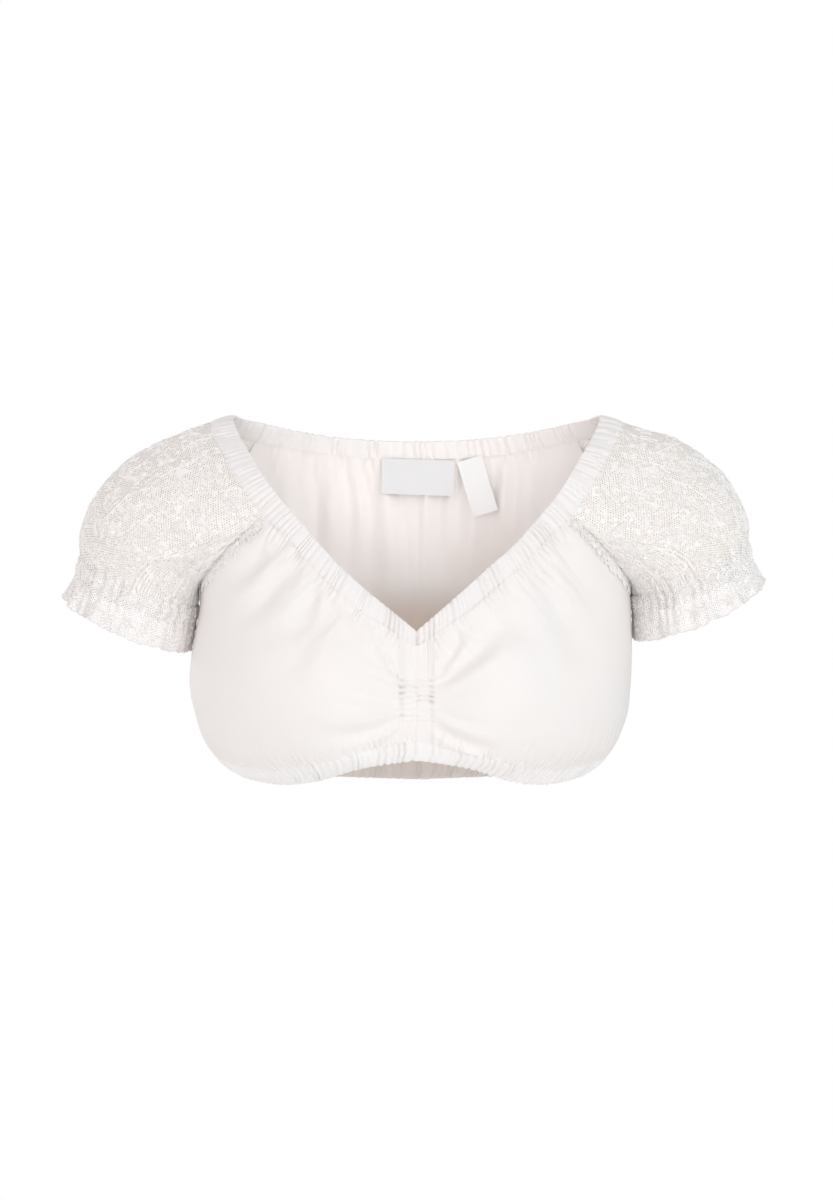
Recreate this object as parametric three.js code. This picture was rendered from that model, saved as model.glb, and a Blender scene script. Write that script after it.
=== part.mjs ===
// A cropped dirndl blouse in its worn, hollow form: two gathered fronts, a back, raglan puff sleeves of lace,
// and elastic casings round the neck, the hem and the cuffs.
// Millimetres. X runs to the wearer's left, -Y is the front and +Z is up. The origin is midway between the
// two shoulder tops, where the wearer carries the blouse.
import * as THREE from "three";

// Cloth
const cottonWall = 1.3;
const laceWall = 1.1;
const casingWall = 2.4;
const casingLift = 0.6; // how far a casing stands proud of the panel beside it
const casingBulge = 0.5; // roundness of a casing across its width
const labelWall = 1.0;
const seamGap = 0.3;

// Body form
const squareness = 2.35; // exponent of the oval section, where 2 is an ellipse
const bodySections = [
  { z: -266, right: 112, left: 103, front: 88, back: 72 },
  { z: -251, right: 126.5, left: 119.5, front: 98, back: 77 },
  { z: -237, right: 142.5, left: 135.5, front: 109, back: 82 },
  { z: -217, right: 153, left: 145, front: 116, back: 86 },
  { z: -193, right: 158, left: 149.5, front: 118, back: 88 },
  { z: -168, right: 157, left: 151, front: 116, back: 90 },
  { z: -148, right: 153, left: 150, front: 112, back: 91 },
  { z: -120, right: 151, left: 149, front: 106, back: 91 },
  { z: -80, right: 149, left: 148, front: 94, back: 91 },
  { z: -45, right: 145, left: 146, front: 80, back: 90 },
  { z: -20, right: 138, left: 140, front: 62, back: 87 },
  { z: 0, right: 130, left: 132, front: 40, back: 78 },
];
const cupFullness = { x: 70, z: -192, spread: 36, proud: 8 };
const centreHollow = { top: -140, bottom: -262, spread: 24, depth: 13 };

// Neck edge, as half widths at each height down the front, then over the shoulder
const neckFront = [
  { z: -152, right: 0, left: 0 },
  { z: -142, right: 12, left: 11.5 },
  { z: -125, right: 33, left: 31 },
  { z: -108, right: 52, left: 50 },
  { z: -94, right: 65, left: 66 },
  { z: -78, right: 79, left: 80.5 },
  { z: -62, right: 93, left: 94.5 },
];
const shoulderEdge = [
  { out: 105, y: -62, z: -46 },
  { out: 114, y: -46, z: -31 },
  { out: 122, y: -28, z: -18 },
  { out: 128, y: -6, z: -5 },
  { out: 128, y: 16, z: -1 },
  { out: 121, y: 38, z: -3 },
];
const neckBack = { cornerX: 109, cornerZ: -5, centreZ: -16.5, rise: 2.2 };
const neckBand = { point: 10.5, front: 15, corner: 18, shoulder: 18, back: 14 };
const shoulderFall = -16; // degrees that the casing drops over the shoulder, before its ends draw it down

// Hem edge by angle round the body, where 0 is the centre front and 180 the centre back
const hemEdge = [
  { angle: 0, z: -239.5 },
  { angle: 13, z: -245 },
  { angle: 28, z: -253.5 },
  { angle: 45, z: -257 },
  { angle: 65, z: -255 },
  { angle: 90, z: -250 },
  { angle: 125, z: -255 },
  { angle: 180, z: -260 },
];
const hemBandHeight = 16;
const rucheHalfWidth = 12;
const armpitZ = -120;

// Sleeve, worked out for the side where X is positive
const cuff = { y: -3, radius: 43, lean: 15, frontDrop: 0.2 };
// Each cuff's centre and the slope of its ring. The wearer's right cuff hangs a little lower.
const cuffHang = new Map([[-1, { x: 194.5, z: -115.5, slant: 23 }], [1, { x: 192, z: -106.5, slant: 25 }]]);
const cuffBandHeight = 14.5;
const ruffle = { height: 18.5, flare: 3.5, wave: 2.8, waves: 12 };
const puff = { pull: 1.1, headPull: 0.12, turnIn: 18 };

// Grid columns along each shared seam, and rows across each panel
const columns = { ruche: 4, neckFront: 30, raglanFront: 10, shoulder: 16, raglanBack: 12, backHalf: 20 };
const panelRows = [0, 0.06, 0.15, 0.29, 0.45, 0.61, 0.76, 0.88, 0.95, 1];
const sleeveRows = [0, 0.08, 0.2, 0.35, 0.5, 0.66, 0.81, 0.93, 1];
const rucheRows = 24;

// Gathers
const gather = { neck: 0.7, hem: 0.8, reach: 13, shoulder: 0.6, cuff: 1.1, ruche: 0.9 };

// Labels inside the back, each from its middle at the top, where it is sewn to the casing
const brandLabel = { x: 1.5, top: -29, width: 53, height: 26, tilt: -2 };
const sizeLabel = { x: 38.5, top: -28.5, width: 19, height: 42, tilt: 17 };
const labelDepths = [2.5, 4.3, 4.9, 5.3]; // how far inside the body form each row of a label hangs

// Large soft folds: a line on the front as seen from the front, on the side given, 1 for the wearer's left
const frontFolds = [
  { side: -1, x1: 74, z1: -106, x2: 128, z2: -136, depth: -2.2, spread: 5 },
  { side: -1, x1: 68, z1: -118, x2: 132, z2: -178, depth: -3.2, spread: 7 },
  { side: -1, x1: 64, z1: -130, x2: 98, z2: -166, depth: -2.4, spread: 5 },
  { side: -1, x1: 14, z1: -188, x2: 84, z2: -190, depth: -2.6, spread: 5 },
  { side: -1, x1: 14, z1: -212, x2: 82, z2: -224, depth: -2.6, spread: 5 },
  { side: 1, x1: 14, z1: -184, x2: 50, z2: -136, depth: -3, spread: 5 },
  { side: 1, x1: 14, z1: -190, x2: 68, z2: -152, depth: -2.6, spread: 6 },
  { side: 1, x1: 14, z1: -201, x2: 66, z2: -192, depth: -2, spread: 5 },
  { side: 1, x1: 14, z1: -219, x2: 62, z2: -236, depth: -2.2, spread: 5 },
  { side: 1, x1: 88, z1: -96, x2: 120, z2: -150, depth: -1.8, spread: 7 },
];
const backFolds = [
  { side: -1, x1: 26, z1: -62, x2: 30, z2: -190, depth: -2.4, spread: 8 },
  { side: -1, x1: 64, z1: -58, x2: 72, z2: -160, depth: -2.6, spread: 9 },
  { side: -1, x1: 96, z1: -70, x2: 106, z2: -200, depth: -2.2, spread: 10 },
  { side: 1, x1: 8, z1: -62, x2: 6, z2: -150, depth: -2, spread: 7 },
  { side: 1, x1: 46, z1: -64, x2: 52, z2: -200, depth: -2.6, spread: 9 },
  { side: 1, x1: 84, z1: -62, x2: 96, z2: -180, depth: -2.4, spread: 9 },
];

const { clamp, degToRad, lerp, smoothstep } = THREE.MathUtils;
const vec = (x, y, z) => new THREE.Vector3(x, y, z);
const mirrored = (side, out, y, z) => vec(side * out, y, z);

// A cubic through two values with the slopes given, for numbers
function hermite(a, b, slopeA, slopeB, t) {
  const t2 = t * t;
  const t3 = t2 * t;
  return (2 * t3 - 3 * t2 + 1) * a + (t3 - 2 * t2 + t) * slopeA + (3 * t2 - 2 * t3) * b + (t3 - t2) * slopeB;
}

// Reads every column of a table at one value of its key, on a smooth curve through the rows
function readTable(rows, key, value) {
  const last = rows.length - 1;
  const at = clamp(value, rows[0][key], rows[last][key]);
  let i = 0;
  while (i < last - 1 && at > rows[i + 1][key]) i++;
  const a = rows[i];
  const b = rows[i + 1];
  const before = rows[Math.max(i - 1, 0)];
  const after = rows[Math.min(i + 2, last)];
  const span = b[key] - a[key];
  const read = {};
  for (const column of Object.keys(a)) {
    const slopeA = (span * (b[column] - before[column])) / (b[key] - before[key]);
    const slopeB = (span * (after[column] - a[column])) / (after[key] - a[key]);
    read[column] = hermite(a[column], b[column], slopeA, slopeB, (at - a[key]) / span);
  }
  return read;
}

const bell = (distance, spread) => Math.exp(-0.5 * (distance / spread) ** 2);

// How much a front stands forward of the plain oval: two soft cups and the hollow between them
function frontFullness(x, z) {
  const cups = cupFullness.proud * bell(z - cupFullness.z, cupFullness.spread)
    * bell(Math.abs(x) - cupFullness.x, cupFullness.spread);
  const inHollow = smoothstep(z, centreHollow.bottom, centreHollow.bottom + 40)
    * (1 - smoothstep(z, centreHollow.top - 40, centreHollow.top));
  return cups - centreHollow.depth * (0.45 + 0.55 * inHollow) * bell(x, centreHollow.spread);
}

// A point of the body form. The angle is 0 at the centre front and grows towards the wearer's left.
function torso(angle, z) {
  const row = readTable(bodySections, "z", z);
  const s = Math.sin(angle);
  const c = Math.cos(angle);
  const power = 2 / squareness;
  const x = Math.sign(s) * (s < 0 ? row.right : row.left) * Math.abs(s) ** power;
  if (c < 0) return vec(x, row.back * Math.abs(c) ** power, z);
  return vec(x, -row.front * c ** power - Math.min(1, 3 * c) * frontFullness(x, z), z);
}

// The angle at which the body form has this x, on the front or on the back
function angleAt(x, z, onBack = false) {
  const row = readTable(bodySections, "z", z);
  const share = Math.min(1, Math.abs(x) / (x < 0 ? row.right : row.left));
  const angle = Math.asin(share ** (squareness / 2));
  return Math.sign(x) * (onBack ? Math.PI - angle : angle);
}

function torsoNormal(angle, z) {
  const step = 0.01;
  const across = torso(angle + step, z).sub(torso(angle - step, z));
  const up = torso(angle, z + 1).sub(torso(angle, z - 1));
  return across.cross(up).normalize();
}

// A spot on the body form, moved by a number of millimetres along the form in a direction
function slide(spot, direction, distance) {
  const step = 0.005;
  const across = torso(spot.angle + step, spot.z).sub(torso(spot.angle - step, spot.z)).divideScalar(2 * step);
  const up = torso(spot.angle, spot.z + 1).sub(torso(spot.angle, spot.z - 1)).divideScalar(2);
  const [aa, au, uu] = [across.dot(across), across.dot(up), up.dot(up)];
  const [da, du] = [across.dot(direction) * distance, up.dot(direction) * distance];
  const determinant = aa * uu - au * au;
  return {
    angle: spot.angle + (da * uu - du * au) / determinant,
    z: spot.z + (du * aa - da * au) / determinant,
  };
}

// The inputs at which a curve is cut into a number of equal lengths
function evenSteps(curve, count, from = 0, to = 1) {
  const fine = 400;
  const inputs = Array.from({ length: fine + 1 }, (_, i) => lerp(from, to, i / fine));
  const lengths = [0];
  for (let i = 1; i <= fine; i++) {
    lengths.push(lengths[i - 1] + curve(inputs[i]).distanceTo(curve(inputs[i - 1])));
  }
  return Array.from({ length: count + 1 }, (_, k) => {
    const wanted = (lengths[fine] * k) / count;
    const i = clamp(lengths.findIndex((length) => length >= wanted), 1, fine);
    return lerp(inputs[i - 1], inputs[i], (wanted - lengths[i - 1]) / (lengths[i] - lengths[i - 1]));
  });
}

const place = (spot) => torso(spot.angle, spot.z);
const between = (a, b, t) => ({ angle: lerp(a.angle, b.angle, t), z: lerp(a.z, b.z, t) });

// The neck edge on the front, from the V point at 0 to the raglan seam at 1
function neckFrontSpot(side, t) {
  const z = lerp(neckFront[0].z, neckFront.at(-1).z, t);
  const row = readTable(neckFront, "z", z);
  return { angle: angleAt(side * Math.max(0.001, side < 0 ? row.right : row.left), z), z };
}

// The neck edge on the back, from the raglan seam at 0 to the centre back at 1
function neckBackSpot(side, t) {
  const x = neckBack.cornerX * (1 - t);
  const z = lerp(neckBack.centreZ, neckBack.cornerZ, (1 - t) ** neckBack.rise);
  return { angle: angleAt(side * Math.max(0.001, x), z, true), z };
}

// The lower edge of the neck casing beside a spot of the neck edge
function casingFoot(spotAt, side, t, width) {
  const step = 0.004;
  const spot = spotAt(side, t);
  const ahead = spotAt(side, Math.min(1, t + step));
  const behind = spotAt(side, Math.max(0, t - step));
  const along = place(ahead).sub(place(behind)).normalize();
  const down = torsoNormal(spot.angle, spot.z).cross(along).normalize();
  if (down.z > 0) down.negate();
  return slide(spot, down, width);
}

const frontWidth = (t) => lerp(neckBand.point, neckBand.front, smoothstep(t, 0, 0.3))
  + (neckBand.corner - neckBand.front) * smoothstep(t, 0.75, 1);
const backFoot = (side, t) => casingFoot(neckBackSpot, side, t, neckBand.back);
const mitreInput = -0.05;

// The lower edge of a front casing. Below 0 it runs straight on to the mitre under the V point.
function frontFoot(side, t) {
  if (t >= 0) return casingFoot(neckFrontSpot, side, t, frontWidth(t));
  const first = casingFoot(neckFrontSpot, side, 0.01, neckBand.point);
  const next = casingFoot(neckFrontSpot, side, 0.05, neckBand.point);
  const fall = (next.z - first.z) / (next.angle - first.angle);
  const mitre = { angle: side * 0.0003, z: first.z - first.angle * fall };
  return between(casingFoot(neckFrontSpot, side, 0, neckBand.point), mitre, t / mitreInput);
}

// Where the lower edge of the front casing reaches a distance from the centre front
function footInput(side, x) {
  let low = mitreInput;
  let high = 0.5;
  for (let i = 0; i < 40; i++) {
    const middle = (low + high) / 2;
    if (side * place(frontFoot(side, middle)).x < x) low = middle;
    else high = middle;
  }
  return high;
}

// The matching spots of the front casing's two edges, from the centre front to the raglan seam
function frontCasingSpots(side) {
  const { ruche, neckFront: count } = columns;
  const rucheEdge = footInput(side, rucheHalfWidth);
  const footCurve = (t) => place(frontFoot(side, t));
  const feet = [...evenSteps(footCurve, ruche, mitreInput, rucheEdge), ...evenSteps(footCurve, count, rucheEdge, 1).slice(1)];
  const edges = evenSteps((t) => place(neckFrontSpot(side, t)), ruche + count);
  return edges.map((t, i) => ({ edge: neckFrontSpot(side, t), foot: frontFoot(side, feet[i]) }));
}

function backCasingSpots(side) {
  const inputs = evenSteps((t) => place(neckBackSpot(side, t)), columns.backHalf);
  return inputs.map((t) => ({ edge: neckBackSpot(side, t), foot: backFoot(side, t) }));
}

// A raglan seam on the body form, from the neck casing at 0 to the armpit at 1
function raglanSpot(side, top, t) {
  const drop = Math.sin((t * Math.PI) / 2);
  return { angle: lerp(top.angle, (side * Math.PI) / 2, t), z: lerp(top.z, armpitZ, drop) };
}
const raglanSpots = (side, top, count) =>
  evenSteps((t) => place(raglanSpot(side, top, t)), count).map((t) => raglanSpot(side, top, t));

// The hem edge at an angle, which may run on past the centre back
function hemSpot(angle) {
  const turn = Math.abs((angle * 180) / Math.PI);
  return { angle, z: readTable(hemEdge, "angle", turn > 180 ? 360 - turn : turn).z };
}
const hemTopSpot = (angle) => {
  const spot = hemSpot(angle);
  return slide(spot, torso(angle, spot.z + 1).sub(torso(angle, spot.z)).normalize(), hemBandHeight);
};

// The angles of the hem's columns from the centre front to the side, and from the side to the centre back
function hemFrontAngles(side) {
  const { ruche, neckFront: front, raglanFront } = columns;
  const z = hemTopSpot(0).z;
  const edge = Math.abs(angleAt(side * rucheHalfWidth, z));
  const curve = (t) => place(hemTopSpot(side * t));
  return [...evenSteps(curve, ruche, 0, edge), ...evenSteps(curve, front + raglanFront, edge, Math.PI / 2).slice(1)]
    .map((t) => side * t);
}
const hemBackAngles = (side) =>
  evenSteps((t) => place(hemTopSpot(side * t)), columns.raglanBack + columns.backHalf, Math.PI / 2, Math.PI)
    .map((t) => side * t);

// An uneven height for each gather, the same on every run
const uneven = (i, seed) => 0.72 + 0.28 * Math.sin(i * 2.39 + seed) + 0.18 * Math.sin(i * 5.17 + 2 * seed);
const zigzag = (i, seed) => (i % 2 ? 1 : -1) * uneven(i, seed);

// The depth of the large folds at a point seen from the front or the back
function foldDepth(folds, x, z) {
  let depth = 0;
  for (const fold of folds) {
    if (fold.side * x < 0) continue;
    const run = new THREE.Vector2(fold.x2 - fold.x1, fold.z2 - fold.z1);
    const from = new THREE.Vector2(Math.abs(x) - fold.x1, z - fold.z1);
    const t = from.dot(run) / run.lengthSq();
    if (t < -0.15 || t > 1.15) continue;
    const off = Math.abs(from.cross(run)) / run.length();
    const ends = smoothstep(t, -0.15, 0.12) * (1 - smoothstep(t, 0.6, 1.15));
    depth += fold.depth * ends * bell(off, fold.spread * (0.8 + 0.6 * t));
  }
  return depth;
}

// Normals of a grid of points, from the points beside each one
function gridNormals(grid, closed) {
  const rows = grid.length;
  const count = grid[0].length;
  const beside = (i) => (closed ? (i + count) % count : clamp(i, 0, count - 1));
  return grid.map((row, r) => row.map((_, c) => {
    const across = row[beside(c + 1)].clone().sub(row[beside(c - 1)]);
    const up = grid[Math.min(r + 1, rows - 1)][c].clone().sub(grid[Math.max(r - 1, 0)][c]);
    return across.cross(up).normalize();
  }));
}

// A closed wall between two grids of points
function wallGeometry(outer, inner, closed) {
  const rows = outer.length;
  const count = outer[0].length;
  const positions = [...outer.flat(), ...inner.flat()].flatMap((p) => [p.x, p.y, p.z]);
  const at = (layer, r, c) => layer * rows * count + r * count + (c % count);
  const index = [];
  const quad = (a, b, c, d) => index.push(a, b, c, a, c, d);
  const spans = closed ? count : count - 1;
  for (let c = 0; c < spans; c++) {
    for (let r = 0; r < rows - 1; r++) {
      quad(at(0, r, c), at(0, r, c + 1), at(0, r + 1, c + 1), at(0, r + 1, c));
      quad(at(1, r, c), at(1, r + 1, c), at(1, r + 1, c + 1), at(1, r, c + 1));
    }
    quad(at(0, 0, c), at(1, 0, c), at(1, 0, c + 1), at(0, 0, c + 1));
    quad(at(0, rows - 1, c), at(0, rows - 1, c + 1), at(1, rows - 1, c + 1), at(1, rows - 1, c));
  }
  for (let r = 0; r < rows - 1 && !closed; r++) {
    quad(at(0, r, 0), at(0, r + 1, 0), at(1, r + 1, 0), at(1, r, 0));
    const e = count - 1;
    quad(at(0, r, e), at(1, r, e), at(1, r + 1, e), at(0, r + 1, e));
  }
  const geometry = new THREE.BufferGeometry();
  geometry.setAttribute("position", new THREE.Float32BufferAttribute(positions, 3));
  geometry.setIndex(index);
  geometry.computeVertexNormals();
  return geometry;
}

function signedVolume(geometry) {
  const p = geometry.getAttribute("position");
  const index = geometry.getIndex().array;
  const corner = (i) => vec().fromBufferAttribute(p, index[i]);
  let volume = 0;
  for (let i = 0; i < index.length; i += 3) volume += corner(i).dot(corner(i + 1).cross(corner(i + 2))) / 6;
  return volume;
}

const cotton = new THREE.MeshStandardMaterial({ color: 0xf4efed, roughness: 0.85, metalness: 0 });
const lace = new THREE.MeshStandardMaterial({ color: 0xf1ebe7, roughness: 0.9, metalness: 0 });
const satin = new THREE.MeshStandardMaterial({ color: 0xf3f3f4, roughness: 0.5, metalness: 0 });

// A named piece of cloth on a grid. Its outer and inner faces stand at the heights that the two functions give.
function cloth(name, material, grid, normals, outerHeight, innerHeight, closed = false) {
  const lifted = (height) => grid.map((row, r) => row.map((point, c) =>
    point.clone().addScaledVector(normals[r][c], height(r, c))));
  const geometry = wallGeometry(lifted(outerHeight), lifted(innerHeight), closed);
  if (signedVolume(geometry) < 0) {
    const index = geometry.getIndex();
    for (let i = 0; i < index.count; i += 3) {
      const first = index.getX(i);
      index.setX(i, index.getX(i + 2));
      index.setX(i + 2, first);
    }
  }
  const mesh = new THREE.Mesh(geometry, material);
  mesh.name = name;
  return mesh;
}

// A piece of cloth that lies on the body form, on a grid of spots
function bodyCloth(name, material, spots, outerHeight, innerHeight) {
  const grid = spots.map((row) => row.map(place));
  const normals = spots.map((row) => row.map((spot) => torsoNormal(spot.angle, spot.z)));
  return cloth(name, material, grid, normals, outerHeight, innerHeight);
}

// Spots between a lower and an upper line, kept clear of both by half a seam gap
function spotRows(lower, upper, shares) {
  return shares.map((share) => lower.map((low, c) => {
    const length = Math.max(1, place(low).distanceTo(place(upper[c])));
    const inset = seamGap / 2 / length;
    return between(low, upper[c], lerp(inset, 1 - inset, share));
  }));
}

// Moves the first and last spot of every row inwards, clear of the seams at the two sides
function clearSides(spots) {
  for (const row of spots) {
    const last = row.length - 1;
    for (const [i, beside] of [[0, 1], [last, last - 1]]) {
      const length = place(row[i]).distanceTo(place(row[beside]));
      row[i] = between(row[i], row[beside], seamGap / 2 / length);
    }
  }
  return spots;
}

// A band of three rows with a rounded section, puckered at every second column
function casingHeights(seed, amount, numbers) {
  const round = (r) => (r === 1 ? casingBulge : 0);
  const pucker = (c) => amount * zigzag(numbers ? numbers[c] : c, seed);
  return [
    (r, c) => casingLift + round(r) + pucker(c),
    (r, c) => casingLift - casingWall - round(r) - 0.4 * pucker(c),
  ];
}
const bandShares = [0, 0.5, 1];

// Gathers fade with the distance from the casing that draws them up, and stop short of the raglan seams
function gatherHeight(grid, r, c, numbers) {
  const toTop = grid[r][c].distanceTo(grid.at(-1)[c]);
  const toHem = grid[r][c].distanceTo(grid[0][c]);
  return gather.neck * numbers.ease[c] * zigzag(numbers.top[c], 1) * Math.exp(-toTop / gather.reach)
    + gather.hem * zigzag(numbers.hem[c], 2) * Math.exp(-toHem / gather.reach);
}

const sideNames = new Map([[-1, "right"], [1, "left"]]);
const blouse = new THREE.Group();

const layout = new Map([-1, 1].map((side) => {
  const front = frontCasingSpots(side);
  const back = backCasingSpots(side);
  return [side, {
    front,
    back,
    raglanFront: raglanSpots(side, front.at(-1).foot, columns.raglanFront),
    raglanBack: raglanSpots(side, back[0].foot, columns.raglanBack),
    hemFront: hemFrontAngles(side),
    hemBack: hemBackAngles(side),
  }];
}));

// Gather numbers count outwards from the centre front or back, so that a panel and its casing agree
const countUp = (from, to) => Array.from({ length: to - from + 1 }, (_, i) => from + i);
function panelPiece(name, spots, folds, numbers) {
  const grid = spots.map((row) => row.map(place));
  const height = (r, c) => {
    const point = grid[r][c];
    return gatherHeight(grid, r, c, numbers) + foldDepth(folds, point.x, point.z);
  };
  return bodyCloth(name, cotton, spots, height, (r, c) => height(r, c) - cottonWall);
}

// One front, from the gathered centre strip to the side seam
function frontPanel(side) {
  const { front, raglanFront, hemFront } = layout.get(side);
  const upper = [...front.slice(columns.ruche).map((pair) => pair.foot), ...raglanFront.slice(1)];
  const lower = hemFront.slice(columns.ruche).map(hemTopSpot);
  const spots = clearSides(spotRows(lower, upper, panelRows));
  const count = countUp(columns.ruche, columns.ruche + columns.neckFront + columns.raglanFront).map((n) => side * n);
  const ease = spots[0].map((_, c) => clamp((columns.neckFront - c) / 3, 0, 1));
  return panelPiece("front_" + sideNames.get(side), spots, frontFolds, { top: count, hem: count, ease });
}

function backPanel() {
  const half = (side) => {
    const { back, raglanBack, hemBack } = layout.get(side);
    const upper = [...raglanBack.slice().reverse(), ...back.slice(1).map((pair) => pair.foot)];
    return { upper, lower: hemBack.map(hemTopSpot) };
  };
  const [right, left] = [half(-1), half(1)];
  const join = (a, b) => [...a, ...b.slice(0, -1).reverse().map((s) => ({ angle: s.angle - 2 * Math.PI, z: s.z }))];
  const spots = clearSides(spotRows(join(right.lower, left.lower), join(right.upper, left.upper), panelRows));
  const { raglanBack, backHalf } = columns;
  const top = countUp(-raglanBack, 2 * backHalf + raglanBack);
  const ease = top.map((n) => clamp(Math.min(n, 2 * backHalf - n) / 3, 0, 1));
  return panelPiece("back", spots, backFolds, { top, hem: top, ease });
}

// The strip between the two stitched rows at the centre front, drawn up into level gathers
function centreRuche() {
  const line = (pick) => {
    const [right, left] = [pick(-1), pick(1)];
    const middle = right[0].z < left[0].z ? right[0] : left[0];
    return [...right.slice(1).reverse(), middle, ...left.slice(1)];
  };
  const upper = line((side) => layout.get(side).front.slice(0, columns.ruche + 1).map((pair) => pair.foot));
  const lower = line((side) => layout.get(side).hemFront.slice(0, columns.ruche + 1).map(hemTopSpot));
  const shares = Array.from({ length: rucheRows + 1 }, (_, i) => i / rucheRows);
  const spots = clearSides(spotRows(lower, upper, shares));
  const height = (r, c) => {
    const seam = c === columns.ruche ? -0.7 : 0;
    const edge = c === 0 || c === 2 * columns.ruche ? 0.5 : 1;
    const ends = Math.min(1, r / 3, (rucheRows - r) / 8);
    return ends * (edge * gather.ruche * zigzag(r, 1) + seam);
  };
  return bodyCloth("centre_ruche", cotton, spots, height, (r, c) => height(r, c) - cottonWall);
}

function frontCasing(side) {
  const { front } = layout.get(side);
  const spots = clearSides(spotRows(front.map((pair) => pair.foot), front.map((pair) => pair.edge), bandShares));
  const [outer, inner] = casingHeights(1, gather.neck, countUp(0, front.length - 1).map((n) => side * n));
  return bodyCloth("neck_casing_front_" + sideNames.get(side), cotton, spots, outer, inner);
}

function backCasing() {
  const line = (key) => {
    const [right, left] = [-1, 1].map((side) => layout.get(side).back.map((pair) => pair[key]));
    return [...right, ...left.slice(0, -1).reverse().map((s) => ({ angle: s.angle - 2 * Math.PI, z: s.z }))];
  };
  const spots = clearSides(spotRows(line("foot"), line("edge"), bandShares));
  const [outer, inner] = casingHeights(1, gather.neck);
  return bodyCloth("neck_casing_back", cotton, spots, outer, inner);
}

function hemBand(name, angles, numbers) {
  const spots = clearSides(spotRows(angles.map(hemSpot), angles.map(hemTopSpot), bandShares));
  const [outer, inner] = casingHeights(2, gather.hem, numbers);
  return bodyCloth(name, cotton, spots, outer, inner);
}

// A small label that hangs from the back casing, inside the back
function hangingLabel(name, label) {
  const tilt = degToRad(label.tilt);
  const spots = [0, 0.34, 0.67, 1].map((v) => [-0.5, -0.25, 0, 0.25, 0.5].map((u) => {
    const x = label.x + u * label.width * Math.cos(tilt) + v * label.height * Math.sin(tilt);
    const z = label.top + u * label.width * Math.sin(tilt) - v * label.height * Math.cos(tilt);
    return { angle: angleAt(x, z, true), z };
  }));
  const height = (r) => -labelDepths[r];
  return bodyCloth(name, satin, spots, height, (r, c) => height(r, c) - labelWall);
}

// The neck edge over one shoulder, and the casing's lower edge beside it, as points
function shoulderLines(side) {
  const { front, back } = layout.get(side);
  const before = place(neckFrontSpot(side, 0.93));
  const after = place(neckBackSpot(side, 0.07));
  const middle = shoulderEdge.map((row) => mirrored(side, row.out, row.y, row.z));
  const points = [before, place(front.at(-1).edge), ...middle, place(back[0].edge), after];
  const curve = new THREE.CatmullRomCurve3(points, false, "centripetal");
  const last = points.length - 1;
  const inputs = evenSteps((t) => curve.getPoint(t), columns.shoulder, 1 / last, (last - 1) / last);
  const edge = inputs.map((t) => curve.getPoint(t));
  const footFront = place(front.at(-1).foot);
  const footBack = place(back[0].foot);
  const atFront = footFront.clone().sub(edge[0]);
  const atBack = footBack.clone().sub(edge.at(-1));
  const fall = degToRad(shoulderFall);
  const atTop = mirrored(side, Math.cos(fall), 0, -Math.sin(fall)).multiplyScalar(neckBand.shoulder);
  const foot = edge.map((point, i) => {
    const t = i / columns.shoulder;
    const weights = [(1 - t) ** 2, 2 * t * (1 - t), t * t];
    const across = vec().addScaledVector(atFront, weights[0]).addScaledVector(atTop, 1.35 * weights[1])
      .addScaledVector(atBack, weights[2]);
    const width = lerp(atFront.length(), atBack.length(), t) + weights[1] * 2
      * (neckBand.shoulder - (atFront.length() + atBack.length()) / 2);
    return point.clone().addScaledVector(across.normalize(), width);
  });
  return { edge, foot };
}

const mixPoints = (a, b, t) => a.clone().lerp(b, t);

// Rows of points between two lines, kept clear of both by half a seam gap
function pointRows(lower, upper, shares) {
  return shares.map((share) => lower.map((low, c) => {
    const inset = seamGap / 2 / low.distanceTo(upper[c]);
    return mixPoints(low, upper[c], lerp(inset, 1 - inset, share));
  }));
}

function shoulderCasing(side) {
  const { edge, foot } = shoulderLines(side);
  const grid = pointRows(foot, edge, bandShares);
  for (const row of grid) {
    const last = row.length - 1;
    row[0].lerp(row[1], seamGap / row[0].distanceTo(row[1]));
    row[last].lerp(row[last - 1], seamGap / row[last].distanceTo(row[last - 1]));
  }
  const normals = gridNormals(grid, false).map((row) => row.map((n) => n.multiplyScalar(n.z < 0 ? -1 : 1)));
  const [outer, inner] = casingHeights(side + 2, gather.shoulder);
  return cloth("neck_casing_shoulder_" + sideNames.get(side), cotton, grid, normals, outer, inner);
}

// The frame of a sleeve's lower end: its centre, the way to the underarm, the way forward and the way down the arm
function cuffFrame(side) {
  const hang = cuffHang.get(side);
  const slant = degToRad(hang.slant);
  const lean = degToRad(cuff.lean);
  const under = mirrored(side, -Math.cos(slant), 0, -Math.sin(slant));
  const forward = vec(0, -1, -cuff.frontDrop).normalize();
  const down = mirrored(side, Math.sin(lean), 0, -Math.cos(lean));
  return { centre: mirrored(side, hang.x, cuff.y, hang.z), under, forward, down };
}

// A point of the ring at a share of the way round, from the underarm by the front, at a distance down the arm
function cuffPoint(side, turn, distance, radius) {
  const frame = cuffFrame(side);
  const angle = turn * 2 * Math.PI;
  return frame.centre.clone()
    .addScaledVector(frame.under, radius * Math.cos(angle))
    .addScaledVector(frame.forward, radius * Math.sin(angle))
    .addScaledVector(frame.down, distance);
}

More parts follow.
